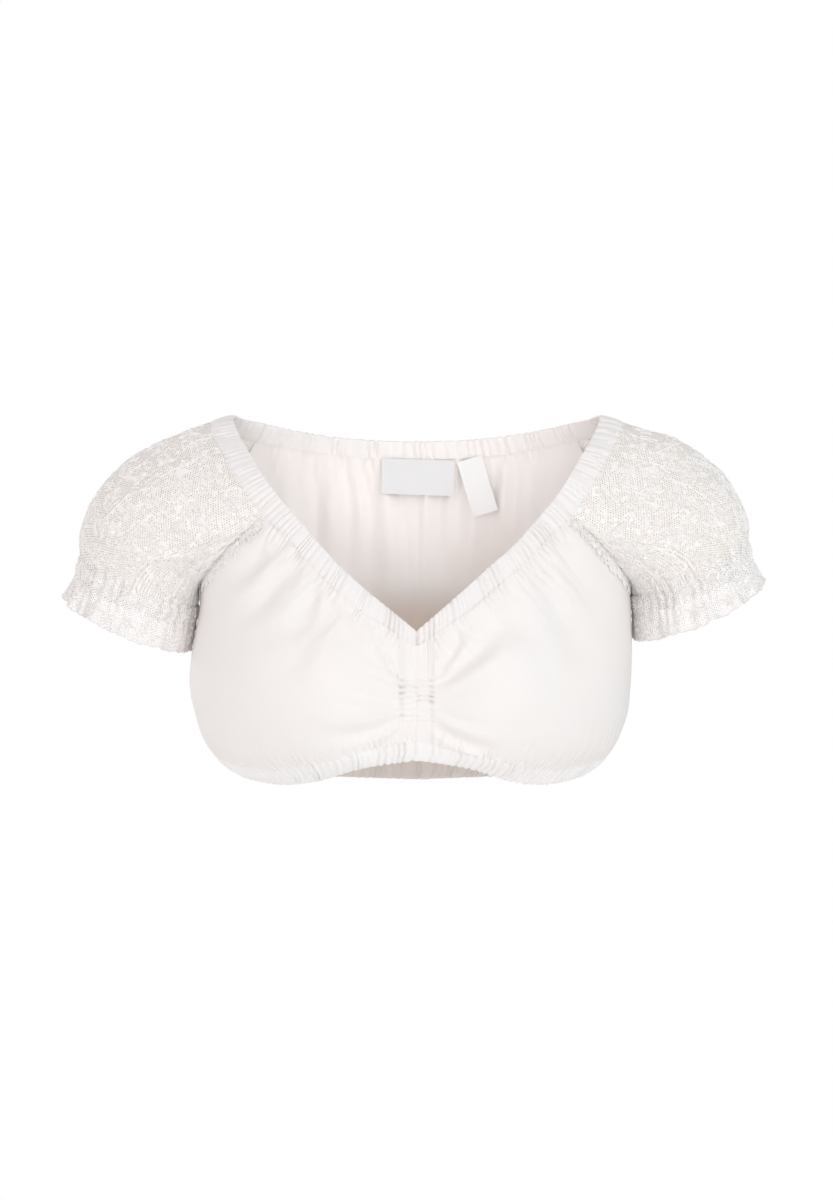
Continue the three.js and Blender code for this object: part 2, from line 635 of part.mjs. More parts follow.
// The sleeve's upper edge round the armhole and the neck casing, with the way that the cloth leaves each point
function sleeveTop(side) {
  const { raglanFront, raglanBack } = layout.get(side);
  const { edge, foot } = shoulderLines(side);
  const armpitWay = mirrored(side, 0.75, 0, -0.66);
  const frontSeam = raglanFront.map(place).reverse();
  const backSeam = raglanBack.map(place);
  const wayAtFront = foot[0].clone().sub(edge[0]).normalize();
  const wayAtBack = foot.at(-1).clone().sub(edge.at(-1)).normalize();
  const seamWay = (wayAtCasing, t, forward) => {
    const swell = Math.sin(Math.PI * t);
    return wayAtCasing.clone().lerp(armpitWay, t).add(mirrored(side, 0.7 * swell, -forward * swell, 0)).normalize();
  };
  const frontWays = frontSeam.map((_, i) => seamWay(wayAtFront, 1 - i / columns.raglanFront, 0.4));
  const topWays = foot.map((point, i) => point.clone().sub(edge[i]).normalize());
  const backWays = backSeam.map((_, i) => seamWay(wayAtBack, i / columns.raglanBack, -0.4));
  const points = [...frontSeam, ...foot.slice(1), ...backSeam.slice(1, -1)];
  const ways = [...frontWays, ...topWays.slice(1), ...backWays.slice(1, -1)];
  return { points: clearOfSeam(points, ways), ways };
}

// Moves each point of a closed seam a little to the side that its cloth lies on
function clearOfSeam(points, ways) {
  const count = points.length;
  return points.map((point, c) => {
    const along = points[(c + 1) % count].clone().sub(points[(c + count - 1) % count]).normalize();
    const across = ways[c].clone().addScaledVector(along, -ways[c].dot(along)).normalize();
    return point.clone().addScaledVector(across, 1.6 * seamGap);
  });
}

// The sleeve, as columns that swell out of its upper edge and turn in to the cuff
function sleeveGrid(side, rows) {
  const { points, ways } = sleeveTop(side);
  const frame = cuffFrame(side);
  return rows.map((share) => points.map((point, c) => {
    const turn = c / points.length;
    const end = cuffPoint(side, turn, -seamGap / 2, cuff.radius);
    const pull = puff.pull * point.distanceTo(end);
    const inwards = degToRad(puff.turnIn) * Math.min(1, 0.15 + 1.5 * Math.sin(Math.PI * turn) ** 2);
    const outWay = end.clone().sub(cuffPoint(side, turn, -seamGap / 2, 0)).normalize();
    const endWay = frame.down.clone().multiplyScalar(Math.cos(inwards)).addScaledVector(outWay, -Math.sin(inwards));
    const from = ways[c].clone().multiplyScalar(pull * (1 + puff.headPull * Math.sin(Math.PI * turn) ** 4));
    const to = endWay.multiplyScalar(pull);
    return vec(
      hermite(point.x, end.x, from.x, to.x, share),
      hermite(point.y, end.y, from.y, to.y, share),
      hermite(point.z, end.z, from.z, to.z, share),
    );
  }));
}

// Turns the normals of a sleeve's grid away from its middle line
function outward(normals, grid) {
  return normals.map((row, r) => {
    const middle = grid[r].reduce((sum, p) => sum.add(p), vec()).divideScalar(grid[r].length);
    const facing = row.reduce((sum, n, c) => sum + n.dot(grid[r][c].clone().sub(middle)), 0);
    return facing < 0 ? row.map((n) => n.clone().negate()) : row;
  });
}

const ruffleWave = (turn) => Math.cos(turn * 2 * Math.PI * ruffle.waves);

function sleeve(side) {
  const grid = sleeveGrid(side, sleeveRows);
  const normals = outward(gridNormals(grid, true), grid);
  const { raglanFront, shoulder } = columns;
  const height = (r, c) => {
    const onShoulder = c > raglanFront && c < raglanFront + shoulder;
    const toTop = grid[r][c].distanceTo(grid[0][c]);
    const toCuff = grid[r][c].distanceTo(grid.at(-1)[c]);
    const top = onShoulder ? gather.shoulder * zigzag(c - raglanFront, side + 2) * Math.exp(-toTop / gather.reach) : 0;
    const drawn = gather.cuff * Math.exp(-toCuff / gather.reach) * clamp(toTop / 20 - 0.2, 0, 1);
    return top + drawn * ruffleWave(c / grid[0].length) * uneven(c, side);
  };
  return cloth("sleeve_" + sideNames.get(side), lace, grid, normals, height, (r, c) => height(r, c) - laceWall, true);
}

function cuffCasing(side) {
  const count = columns.raglanFront + columns.shoulder + columns.raglanBack;
  const grid = bandShares.map((share) => Array.from({ length: count }, (_, c) =>
    cuffPoint(side, c / count, lerp(seamGap / 2, cuffBandHeight - seamGap / 2, share), cuff.radius)));
  const normals = outward(gridNormals(grid, true), grid);
  const pucker = (c) => 0.7 * gather.cuff * ruffleWave(c / count) * uneven(c, side);
  const round = (r) => (r === 1 ? casingBulge : 0);
  return cloth("cuff_casing_" + sideNames.get(side), lace, grid, normals,
    (r, c) => casingLift + round(r) + pucker(c), (r, c) => casingLift - casingWall - round(r) + 0.6 * pucker(c), true);
}

function cuffRuffle(side) {
  const count = columns.raglanFront + columns.shoulder + columns.raglanBack;
  const grid = [0, 0.4, 0.75, 1].map((share) => Array.from({ length: count }, (_, c) => {
    const radius = cuff.radius + ruffle.flare * share ** 1.3;
    return cuffPoint(side, c / count, cuffBandHeight + lerp(seamGap / 2, ruffle.height, share), radius);
  }));
  const normals = outward(gridNormals(grid, true), grid);
  const height = (r, c) => lerp(0.7 * gather.cuff, ruffle.wave, r / 3) * ruffleWave(c / count) * uneven(c, side);
  return cloth("cuff_ruffle_" + sideNames.get(side), lace, grid, normals, height,
    (r, c) => height(r, c) - laceWall, true);
}

for (const side of [-1, 1]) {
  blouse.add(frontPanel(side), frontCasing(side), shoulderCasing(side));
  blouse.add(sleeve(side), cuffCasing(side), cuffRuffle(side));
}
const frontColumns = columns.ruche + columns.neckFront + columns.raglanFront;
const backColumns = 2 * (columns.raglanBack + columns.backHalf);
blouse.add(centreRuche(), backPanel(), backCasing());
blouse.add(hemBand(
  "hem_casing_front",
  [...layout.get(-1).hemFront.slice(1).reverse(), ...layout.get(1).hemFront],
  countUp(-frontColumns, frontColumns),
));
blouse.add(hemBand(
  "hem_casing_back",
  [...layout.get(-1).hemBack, ...layout.get(1).hemBack.slice(0, -1).reverse().map((a) => a - 2 * Math.PI)],
  countUp(-columns.raglanBack, backColumns - columns.raglanBack),
));
blouse.add(hangingLabel("label_brand", brandLabel), hangingLabel("label_size", sizeLabel));

export default blouse;
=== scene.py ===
import math

import bpy
import numpy as np
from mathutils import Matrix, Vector


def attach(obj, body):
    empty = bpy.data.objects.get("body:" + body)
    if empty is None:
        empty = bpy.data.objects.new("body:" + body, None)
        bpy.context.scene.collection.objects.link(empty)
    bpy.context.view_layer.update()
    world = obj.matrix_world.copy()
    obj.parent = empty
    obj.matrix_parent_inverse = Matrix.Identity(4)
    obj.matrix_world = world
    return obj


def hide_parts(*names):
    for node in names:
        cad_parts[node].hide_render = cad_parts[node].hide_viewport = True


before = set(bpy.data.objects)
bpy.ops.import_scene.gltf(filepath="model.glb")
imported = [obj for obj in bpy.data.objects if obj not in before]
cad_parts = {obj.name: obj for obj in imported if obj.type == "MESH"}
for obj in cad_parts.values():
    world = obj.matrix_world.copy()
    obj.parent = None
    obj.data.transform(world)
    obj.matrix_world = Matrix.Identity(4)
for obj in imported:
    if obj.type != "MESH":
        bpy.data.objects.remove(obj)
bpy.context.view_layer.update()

print("frame loaded")

# The body form, in millimetres. Angles are 0 at the centre front and grow towards the wearer's left.
squareness = 2.35
bodyTable = {
    "z": [-266, -251, -237, -217, -193, -168, -148, -120, -80, -45, -20, 0],
    "right": [112, 126.5, 142.5, 153, 158, 157, 153, 151, 149, 145, 138, 130],
    "left": [103, 119.5, 135.5, 145, 149.5, 151, 150, 149, 148, 146, 140, 132],
    "front": [88, 98, 109, 116, 118, 116, 112, 106, 94, 80, 62, 40],
    "back": [72, 77, 82, 86, 88, 90, 91, 91, 91, 90, 87, 78],
}
cupFullness = {"x": 70, "z": -192, "spread": 36, "proud": 8}
centreHollow = {"top": -140, "bottom": -262, "spread": 24, "depth": 13}
neckFrontTable = {
    "z": [-152, -142, -125, -108, -94, -78, -62],
    "right": [0, 12, 33, 52, 65, 79, 93],
    "left": [0, 11.5, 31, 50, 66, 80.5, 94.5],
}
neckBack = {"cornerX": 109, "cornerZ": -5, "centreZ": -16.5, "rise": 2.2}
neckBand = {"point": 10.5, "front": 15, "corner": 18, "shoulder": 18, "back": 14, "mitre": -0.05,
            "shoulderFall": -16, "shoulderSwell": 1.35}
# Points of the neck edge over a shoulder: how far out, y and z
shoulderEdge = [(105, -62, -46), (114, -46, -31), (122, -28, -18), (128, -6, -5), (128, 16, -1), (121, 38, -3)]
hemTable = {
    "angle": [0, 13, 28, 45, 65, 90, 125, 180],
    "z": [-239.5, -245, -253.5, -257, -255, -250, -255, -260],
}
hemBandHeight = 16
rucheHalfWidth = 12
armpitZ = -120
offCentre = {"x": 0.001, "angle": 0.0003}  # keeps a spot on its own side of the centre line
seamShares = {"ruche": 4, "neckFront": 30, "raglanFront": 10, "shoulder": 16, "raglanBack": 12, "backHalf": 20}
sideNames = {-1: "Right", 1: "Left"}
nodeSides = {-1: "right", 1: "left"}


def ease(t):
    return t * t * (3 - 2 * t)


def smooth(low, high, value):
    return ease(np.clip((value - low) / (high - low), 0, 1))


def hermite(a, b, slopeA, slopeB, t):
    return ((2 * t**3 - 3 * t**2 + 1) * a + (t**3 - 2 * t**2 + t) * slopeA
            + (3 * t**2 - 2 * t**3) * b + (t**3 - t**2) * slopeB)


def bell(distance, spread):
    return np.exp(-0.5 * (distance / spread) ** 2)


def unit(vectors):
    return vectors / np.maximum(np.linalg.norm(vectors, axis=-1, keepdims=True), 1e-9)


def lineLengths(points):
    steps = np.linalg.norm(np.diff(points, axis=0), axis=-1)
    return np.concatenate([[0], np.cumsum(steps)])


def readTable(table, key, value):
    keys = np.array(table[key], float)
    last = len(keys) - 1
    at = np.clip(np.asarray(value, float), keys[0], keys[-1])
    i = np.clip(np.searchsorted(keys, at) - 1, 0, last - 1)
    before, after = np.maximum(i - 1, 0), np.minimum(i + 2, last)
    span = keys[i + 1] - keys[i]
    share = (at - keys[i]) / span
    read = {}
    for column in table:
        v = np.array(table[column], float)
        slopeA = span * (v[i + 1] - v[before]) / (keys[i + 1] - keys[before])
        slopeB = span * (v[after] - v[i]) / (keys[after] - keys[i])
        read[column] = hermite(v[i], v[i + 1], slopeA, slopeB, share)
    return read


def frontFullness(x, z):
    cups = (cupFullness["proud"] * bell(z - cupFullness["z"], cupFullness["spread"])
            * bell(np.abs(x) - cupFullness["x"], cupFullness["spread"]))
    low, top = centreHollow["bottom"], centreHollow["top"]
    inHollow = smooth(low, low + 40, z) * (1 - smooth(top - 40, top, z))
    return cups - centreHollow["depth"] * (0.45 + 0.55 * inHollow) * bell(x, centreHollow["spread"])


# A spot is an angle and a height, and this is where it lies on the body form
def torso(spots):
    angle, z = spots[..., 0], spots[..., 1]
    row = readTable(bodyTable, "z", z)
    s, c = np.sin(angle), np.cos(angle)
    power = 2 / squareness
    x = np.sign(s) * np.where(s < 0, row["right"], row["left"]) * np.abs(s) ** power
    flat = np.abs(c) ** power
    y = np.where(c < 0, row["back"] * flat, -row["front"] * flat - np.minimum(1, 3 * c) * frontFullness(x, z))
    return np.stack([x, y, z], -1)


def moved(spots, angle=0.0, z=0.0):
    return spots + np.array([angle, z])


def torsoNormals(spots):
    across = torso(moved(spots, angle=0.01)) - torso(moved(spots, angle=-0.01))
    up = torso(moved(spots, z=1)) - torso(moved(spots, z=-1))
    return unit(np.cross(across, up))


def angleAt(x, z, onBack=False):
    row = readTable(bodyTable, "z", z)
    share = np.minimum(1, np.abs(x) / np.where(x < 0, row["right"], row["left"]))
    angle = np.arcsin(share ** (squareness / 2))
    return np.sign(x) * (math.pi - angle if onBack else angle)


# Moves spots along the body form by a number of millimetres
def slide(spots, direction, distance):
    across = (torso(moved(spots, angle=0.005)) - torso(moved(spots, angle=-0.005))) / 0.01
    up = (torso(moved(spots, z=1)) - torso(moved(spots, z=-1))) / 2
    aa, au, uu = (across * across).sum(-1), (across * up).sum(-1), (up * up).sum(-1)
    da, du = (across * direction).sum(-1) * distance, (up * direction).sum(-1) * distance
    whole = aa * uu - au * au
    return spots + np.stack([(da * uu - du * au) / whole, (du * aa - da * au) / whole], -1)


def evenSteps(curve, count, start=0.0, end=1.0):
    inputs = np.linspace(start, end, 801)
    lengths = lineLengths(curve(inputs))
    return np.interp(np.linspace(0, lengths[-1], count + 1), lengths, inputs)


def neckFrontSpots(side, t):
    low, high = neckFrontTable["z"][0], neckFrontTable["z"][-1]
    z = low + (high - low) * np.asarray(t, float)
    row = readTable(neckFrontTable, "z", z)
    x = side * np.maximum(offCentre["x"], row[nodeSides[side]])
    return np.stack([angleAt(x, z), z], -1)


def neckBackSpots(side, t):
    t = np.asarray(t, float)
    x = side * np.maximum(offCentre["x"], neckBack["cornerX"] * (1 - t))
    z = neckBack["centreZ"] + (neckBack["cornerZ"] - neckBack["centreZ"]) * (1 - t) ** neckBack["rise"]
    return np.stack([angleAt(x, z, True), z], -1)


# The lower edge of a casing, a width below the neck edge and square to it
def casingFoot(spotsAt, side, t, width):
    t = np.asarray(t, float)
    spots, step = spotsAt(side, t), 0.004
    along = unit(torso(spotsAt(side, np.minimum(1, t + step))) - torso(spotsAt(side, np.maximum(0, t - step))))
    down = unit(np.cross(torsoNormals(spots), along))
    down = np.where(down[..., 2:] > 0, -down, down)
    return slide(spots, down, width)


# Below 0 the input runs on from the neck edge's first point to the mitre at the centre
def frontFoot(side, t):
    t = np.atleast_1d(np.asarray(t, float))
    width = (neckBand["point"] + (neckBand["front"] - neckBand["point"]) * smooth(0, 0.3, t)
             + (neckBand["corner"] - neckBand["front"]) * smooth(0.75, 1, t))
    plain = casingFoot(neckFrontSpots, side, np.maximum(t, 0), width)
    first, near, far = casingFoot(neckFrontSpots, side, [0, 0.01, 0.05], neckBand["point"])
    fall = (far[1] - near[1]) / (far[0] - near[0])
    mitre = np.array([side * offCentre["angle"], near[1] - near[0] * fall])
    share = np.minimum(t, 0)[..., None] / neckBand["mitre"]
    return np.where(t[..., None] >= 0, plain, first + (mitre - first) * share)


def backFoot(side, t):
    return casingFoot(neckBackSpots, side, t, neckBand["back"])


# The input at which the foot of the front casing is x away from the centre
def footInput(side, x):
    low, high = neckBand["mitre"], 0.5
    for _ in range(40):
        middle = (low + high) / 2
        if side * torso(frontFoot(side, middle))[0, 0] < x:
            low = middle
        else:
            high = middle
    return high


def raglanSpots(side, top, count):
    def at(t):
        t = np.asarray(t, float)
        angle = top[0] + (side * math.pi / 2 - top[0]) * t
        return np.stack([angle, top[1] + (armpitZ - top[1]) * np.sin(t * math.pi / 2)], -1)
    return at(evenSteps(lambda t: torso(at(t)), count))


def hemSpots(angle):
    turn = np.abs(np.degrees(angle))
    return np.stack([angle, readTable(hemTable, "angle", np.where(turn > 180, 360 - turn, turn))["z"]], -1)


def hemTopSpots(angle):
    spots = hemSpots(np.asarray(angle, float))
    return slide(spots, unit(torso(moved(spots, z=1)) - torso(spots)), hemBandHeight)


def joinHalves(right, left):
    return np.concatenate([right, left[:-1][::-1] - [2 * math.pi, 0]])


# Every shared seam of the blouse, at the number of steps that the visible cloth needs
def layOutSeams(side, steps):
    n = {name: share * steps for name, share in seamShares.items()}
    rucheEdge = footInput(side, rucheHalfWidth)
    foot = lambda t: torso(frontFoot(side, t))
    feet = np.concatenate([evenSteps(foot, n["ruche"], neckBand["mitre"], rucheEdge),
                           evenSteps(foot, n["neckFront"], rucheEdge, 1)[1:]])
    edges = evenSteps(lambda t: torso(neckFrontSpots(side, t)), n["ruche"] + n["neckFront"])
    backInputs = evenSteps(lambda t: torso(neckBackSpots(side, t)), n["backHalf"])
    hemZ = hemTopSpots(0.0)[1]
    hemEdgeAngle = abs(float(angleAt(np.array(side * rucheHalfWidth, float), hemZ)))
    hem = lambda t: torso(hemTopSpots(side * t))
    hemFront = np.concatenate([evenSteps(hem, n["ruche"], 0, hemEdgeAngle),
                               evenSteps(hem, n["neckFront"] + n["raglanFront"], hemEdgeAngle, math.pi / 2)[1:]])
    hemBack = evenSteps(hem, n["raglanBack"] + n["backHalf"], math.pi / 2, math.pi)
    seams = {
        "counts": n,
        "neckEdge": neckFrontSpots(side, edges),
        "neckFoot": frontFoot(side, feet),
        "backEdge": neckBackSpots(side, backInputs),
        "backFoot": backFoot(side, backInputs),
        "hemFront": side * hemFront,
        "hemBack": side * hemBack,
    }
    seams["raglanFront"] = raglanSpots(side, seams["neckFoot"][-1], n["raglanFront"])
    seams["raglanBack"] = raglanSpots(side, seams["backFoot"][0], n["raglanBack"])
    return seams


# A centripetal curve through points, the same that the solids' shoulders follow
def curveThrough(points, inputs):
    points = np.array(points, float)
    last = len(points) - 1
    at = np.clip(np.asarray(inputs, float) * last, 0, last - 1e-9)
    i = at.astype(int)
    w = (at - i)[:, None]
    padded = np.vstack([2 * points[0] - points[1], points, 2 * points[-1] - points[-2]])
    p0, p1, p2, p3 = (padded[i + k] for k in range(4))
    d0, d1, d2 = (np.linalg.norm(b - a, axis=1, keepdims=True) ** 0.5 for a, b in ((p0, p1), (p1, p2), (p2, p3)))
    slopeA = ((p1 - p0) / d0 - (p2 - p0) / (d0 + d1) + (p2 - p1) / d1) * d1
    slopeB = ((p2 - p1) / d1 - (p3 - p1) / (d1 + d2) + (p3 - p2) / d2) * d1
    return hermite(p1, p2, slopeA, slopeB, w)


# The edge and the foot of the casing over a shoulder. The first and last points only steer the curve.
def shoulderLines(side, seams):
    before = torso(neckFrontSpots(side, 0.93))
    after = torso(neckBackSpots(side, 0.07))
    middle = [(side * out, y, z) for out, y, z in shoulderEdge]
    points = [before, torso(seams["neckEdge"][-1]), *middle, torso(seams["backEdge"][0]), after]
    last = len(points) - 1
    count = seams["counts"]["shoulder"]
    inputs = evenSteps(lambda t: curveThrough(points, t), count, 1 / last, (last - 1) / last)
    edge = curveThrough(points, inputs)
    atFront = torso(seams["neckFoot"][-1]) - edge[0]
    atBack = torso(seams["backFoot"][0]) - edge[-1]
    fall = math.radians(neckBand["shoulderFall"])
    atTop = np.array([side * math.cos(fall), 0, -math.sin(fall)]) * neckBand["shoulder"]
    t = np.linspace(0, 1, count + 1)[:, None]
    across = atFront * (1 - t) ** 2 + atTop * neckBand["shoulderSwell"] * 2 * t * (1 - t) + atBack * t**2
    ends = np.linalg.norm(atFront), np.linalg.norm(atBack)
    width = ends[0] + (ends[1] - ends[0]) * t + 4 * t * (1 - t) * (neckBand["shoulder"] - sum(ends) / 2)
    return edge, edge + unit(across) * width


# How the cloth moves

# Smooth uneven values along a line or over a field, the same on every run
def unevenLine(distance, spacing, seed, loop=None):
    count = 1024
    knots = np.random.default_rng(seed).uniform(-1, 1, count)
    at = distance / spacing + count / 2
    if loop:
        count = max(3, round(loop / spacing))
        at = distance / loop * count
    i = np.floor(at).astype(int)
    f = ease(at - i)
    return knots[i % count] * (1 - f) + knots[(i + 1) % count] * f


def unevenField(x, z, spacing, seed):
    count = 64
    knots = np.random.default_rng(seed).uniform(-1, 1, (count, count))
    ax, az = x / spacing + count / 2, z / spacing + count / 2
    i, k = np.floor(ax).astype(int), np.floor(az).astype(int)
    fx, fz = ease(ax - i), ease(az - k)
    at = lambda a, b: knots[a % count, b % count]
    return ((at(i, k) * (1 - fx) + at(i + 1, k) * fx) * (1 - fz)
            + (at(i, k + 1) * (1 - fx) + at(i + 1, k + 1) * fx) * fz)


# Round ridges with narrow creases between them, as elastic or a gathering thread draws them up
ridgeForm = {"crease": 0.005, "level": 0.66, "even": 0.75, "uneven": 0.65, "wanderEvery": 1.9, "unevenEvery": 1.3}


def gatherWave(distance, pitch, seed, loop=None, wander=0.8):
    if loop:
        pitch = loop / round(loop / pitch)
    phase = distance / pitch + wander * unevenLine(distance, pitch * ridgeForm["wanderEvery"], seed, loop)
    ridge = np.sqrt(np.cos(math.pi * phase) ** 2 + ridgeForm["crease"]) - ridgeForm["level"]
    uneven = unevenLine(distance, pitch * ridgeForm["unevenEvery"], seed + 1, loop)
    return ridge * (ridgeForm["even"] + ridgeForm["uneven"] * uneven)


# How far along a line the nearest point to each point lies, and how far away it is
def nearestOnLine(points, line):
    flat = points.reshape(-1, 3)
    lengths, last = lineLengths(line), len(line) - 1
    along, away = np.empty(len(flat)), np.empty(len(flat))
    batch = 4000
    for start in range(0, len(flat), batch):
        part = flat[start:start + batch]
        gaps = ((part[:, None, :] - line[None, :, :]) ** 2).sum(-1)
        best, row = gaps.argmin(1), np.arange(len(part))
        nextIsNearer = gaps[row, np.minimum(best + 1, last)] < gaps[row, np.maximum(best - 1, 0)]
        i = np.where((best > 0) & (best < last) & nextIsNearer, best + 1, np.clip(best, 1, last))
        a, b = line[i - 1], line[i]
        t = np.clip(((part - a) * (b - a)).sum(1) / np.maximum(((b - a) ** 2).sum(1), 1e-9), 0, 1)
        near = a + (b - a) * t[:, None]
        along[start:start + batch] = lengths[i - 1] + (lengths[i] - lengths[i - 1]) * t
        away[start:start + batch] = np.linalg.norm(part - near, axis=1)
    return along.reshape(points.shape[:-1]), away.reshape(points.shape[:-1])


# Height of the gathers that one seam draws into the cloth beside it. They open out and fade with distance.
opening = {"wander": 0.5, "wanderEvery": 9, "widePitch": 2.15, "wideHeight": 1.5, "unevenReach": 0.55,
           "reachEvery": 2.4}


def drawnUp(points, line, gather, seed):
    along, away = nearestOnLine(points, line)
    wander = opening["wander"] * gather["pitch"] * unevenLine(away, opening["wanderEvery"], seed + 5)
    place = along + wander * smooth(2, 16, away)
    fine = gatherWave(place, gather["pitch"], seed)
    wide = gatherWave(place, gather["pitch"] * opening["widePitch"], seed + 3)
    uneven = opening["unevenReach"] * unevenLine(along, gather["pitch"] * opening["reachEvery"], seed + 7)
    mix = smooth(3, 14, away)
    wave = fine * (1 - mix) + opening["wideHeight"] * wide * mix
    return gather["height"] * wave * np.exp(-away / (gather["reach"] * (1 + uneven)))


# Long folds, each along a bowed line, with weaker ones the other way on both sides of it
foldForm = {"bow": 0.06, "apart": 2.1, "inside": 0.5, "insideWidth": 0.8, "outside": 0.35}


def foldHeight(folds, x, z):
    height = np.zeros_like(x)
    for side, x1, z1, x2, z2, depth, spread in folds:
        run = np.array([x2 - x1, z2 - z1])
        length = np.hypot(*run)
        fx, fz = side * x - x1, z - z1
        t = (fx * run[0] + fz * run[1]) / length**2
        bow = foldForm["bow"] * length * np.sin(math.pi * np.clip(t, -0.2, 1.2))
        off = (fx * run[1] - fz * run[0]) / length - bow
        ends = smooth(-0.12, 0.15, t) * (1 - smooth(0.55, 1.15, t))
        width = spread * (0.75 + 0.6 * np.clip(t, -0.15, 1.15))
        apart = foldForm["apart"] * width
        shape = (bell(off, width) - foldForm["inside"] * bell(off - apart, width * foldForm["insideWidth"])
                 - foldForm["outside"] * bell(off + apart, width))
        height += depth * ends * shape * smooth(0, 7, side * x)
    return height


# Creases that spread out into the cloth from the drawn rows of the centre strip
rucheFan = {"z": -198.5, "half": 16.5, "from": 11, "opening": 20, "pitch": 4.1, "height": 1.7, "reach": 10,
            "widePitch": 2.1, "wideHeight": 2.6, "wideReach": 26}


def rucheCreases(x, z, seed):
    fan = rucheFan
    away = np.maximum(0, np.abs(x) - fan["from"])
    at = (z - fan["z"]) / (1 + away / fan["opening"])
    inside = 1 - smooth(fan["half"] - 2, fan["half"] + 5, np.abs(at))
    fine = gatherWave(at, fan["pitch"], seed, wander=0.3)
    wide = gatherWave(at, fan["pitch"] * fan["widePitch"], seed + 3, wander=0.5)
    return inside * (fan["height"] * fine * np.exp(-away / fan["reach"])
                     + fan["wideHeight"] * wide * np.exp(-away / fan["wideReach"]) * smooth(2, 16, away))


# Mesh making

def makeObject(name, points, faces, corners, material, creaseAngle=62):
    mesh = bpy.data.meshes.new(name)
    sizes = np.concatenate([np.full(len(f), f.shape[1]) for f in faces])
    loops = np.concatenate([f.ravel() for f in faces])
    mesh.vertices.add(len(points))
    mesh.vertices.foreach_set("co", (np.asarray(points, float) * 0.001).ravel())
    mesh.loops.add(len(loops))
    mesh.loops.foreach_set("vertex_index", loops.astype(np.int32))
    mesh.polygons.add(len(sizes))
    mesh.polygons.foreach_set("loop_start", np.concatenate([[0], np.cumsum(sizes)[:-1]]).astype(np.int32))
    if corners is not None:
        layer = mesh.uv_layers.new(name="clothMap")
        layer.uv.foreach_set("vector", (corners * 0.001).astype(np.float32).ravel())
    mesh.update(calc_edges=True)
    mesh.validate()
    mesh.polygons.foreach_set("use_smooth", np.ones(len(mesh.polygons), bool))
    mesh.set_sharp_from_angle(angle=math.radians(creaseAngle))
    mesh.materials.append(material)
    piece = bpy.data.objects.new(name, mesh)
    bpy.context.scene.collection.objects.link(piece)
    return piece


# A closed wall of cloth between two grids of points, with a flat map in millimetres for its weave
def makeWall(name, outer, inner, material, closed=False):
    rows, count = outer.shape[:2]
    ring = np.concatenate([outer, outer[:, :1]], 1) if closed else outer
    acrossRow = lineLengths(ring[rows // 2])
    upSteps = np.linalg.norm(np.diff(outer, axis=0), axis=2)
    upColumns = np.vstack([np.zeros((1, count)), np.cumsum(upSteps, axis=0)])
    at = lambda layer, r, c: layer * rows * count + r * count + c % count
    s, e = np.arange(rows - 1), np.arange(count if closed else count - 1)
    r, c = (g.ravel() for g in np.meshgrid(s, e, indexing="ij"))
    foot, top = np.zeros_like(e), np.full_like(e, rows - 1)
    sets = [
        [(0, r, c), (0, r, c + 1), (0, r + 1, c + 1), (0, r + 1, c)],
        [(1, r, c), (1, r + 1, c), (1, r + 1, c + 1), (1, r, c + 1)],
        [(0, foot, e), (1, foot, e), (1, foot, e + 1), (0, foot, e + 1)],
        [(0, top, e), (0, top, e + 1), (1, top, e + 1), (1, top, e)],
    ]
    if not closed:
        first, last = np.zeros_like(s), np.full_like(s, count - 1)
        sets += [
            [(0, s, first), (0, s + 1, first), (1, s + 1, first), (1, s, first)],
            [(0, s, last), (1, s, last), (1, s + 1, last), (0, s + 1, last)],
        ]
    quads = np.concatenate([np.stack([at(*corner) for corner in four], -1) for four in sets])
    mapAt = lambda r, c: np.stack([acrossRow[c], upColumns[r, c % count]], -1)
    maps = np.concatenate([np.stack([mapAt(r, c) for _, r, c in four], 1) for four in sets])
    points = np.concatenate([outer.reshape(-1, 3), inner.reshape(-1, 3)])
    a, b, c, d = (points[quads[:, k]] for k in range(4))
    volume = (np.einsum("ij,ij->i", a, np.cross(b, c)) + np.einsum("ij,ij->i", a, np.cross(c, d))).sum()
    if volume < 0:  # the faces look inwards
        quads, maps = quads[:, ::-1], maps[:, ::-1]
    return makeObject(name, points, [quads], maps.reshape(-1, 2), material)


# Each line of points becomes a small raised cord with three sides, closed at its ends or into a ring
def cordParts(lines, normals, width, rise, ring=False):
    parts = []
    for line, normal in zip(lines, normals):
        n = len(line)
        along = np.roll(line, -1, 0) - np.roll(line, 1, 0) if ring else np.gradient(line, axis=0)
        sideways, sunk = unit(np.cross(unit(along), normal)) * width / 2, normal * 0.12 * rise
        rib = np.stack([line - sideways - sunk, line + normal * rise, line + sideways - sunk], 1)
        i = np.arange(n if ring else n - 1)
        k = (i + 1) % n
        lengths = lineLengths(np.vstack([line, line[:1]]))
        quads, maps = [], []
        for a, b in ((0, 1), (1, 2), (2, 0)):
            quads.append(np.stack([3 * i + a, 3 * i + b, 3 * k + b, 3 * k + a], -1))
            u0, u1, va, vb = lengths[i], lengths[i + 1], np.full(len(i), a * width), np.full(len(i), b * width)
            maps.append(np.stack([np.stack(pair, -1) for pair in ((u0, va), (u0, vb), (u1, vb), (u1, va))], 1))
        caps = np.array([[2, 1, 0], [3 * n - 3, 3 * n - 2, 3 * n - 1]][:0 if ring else 2], int).reshape(-1, 3)
        parts.append((rib.reshape(-1, 3), np.concatenate(quads), np.concatenate(maps), caps,
                      np.zeros((len(caps), 3, 2))))
    return parts


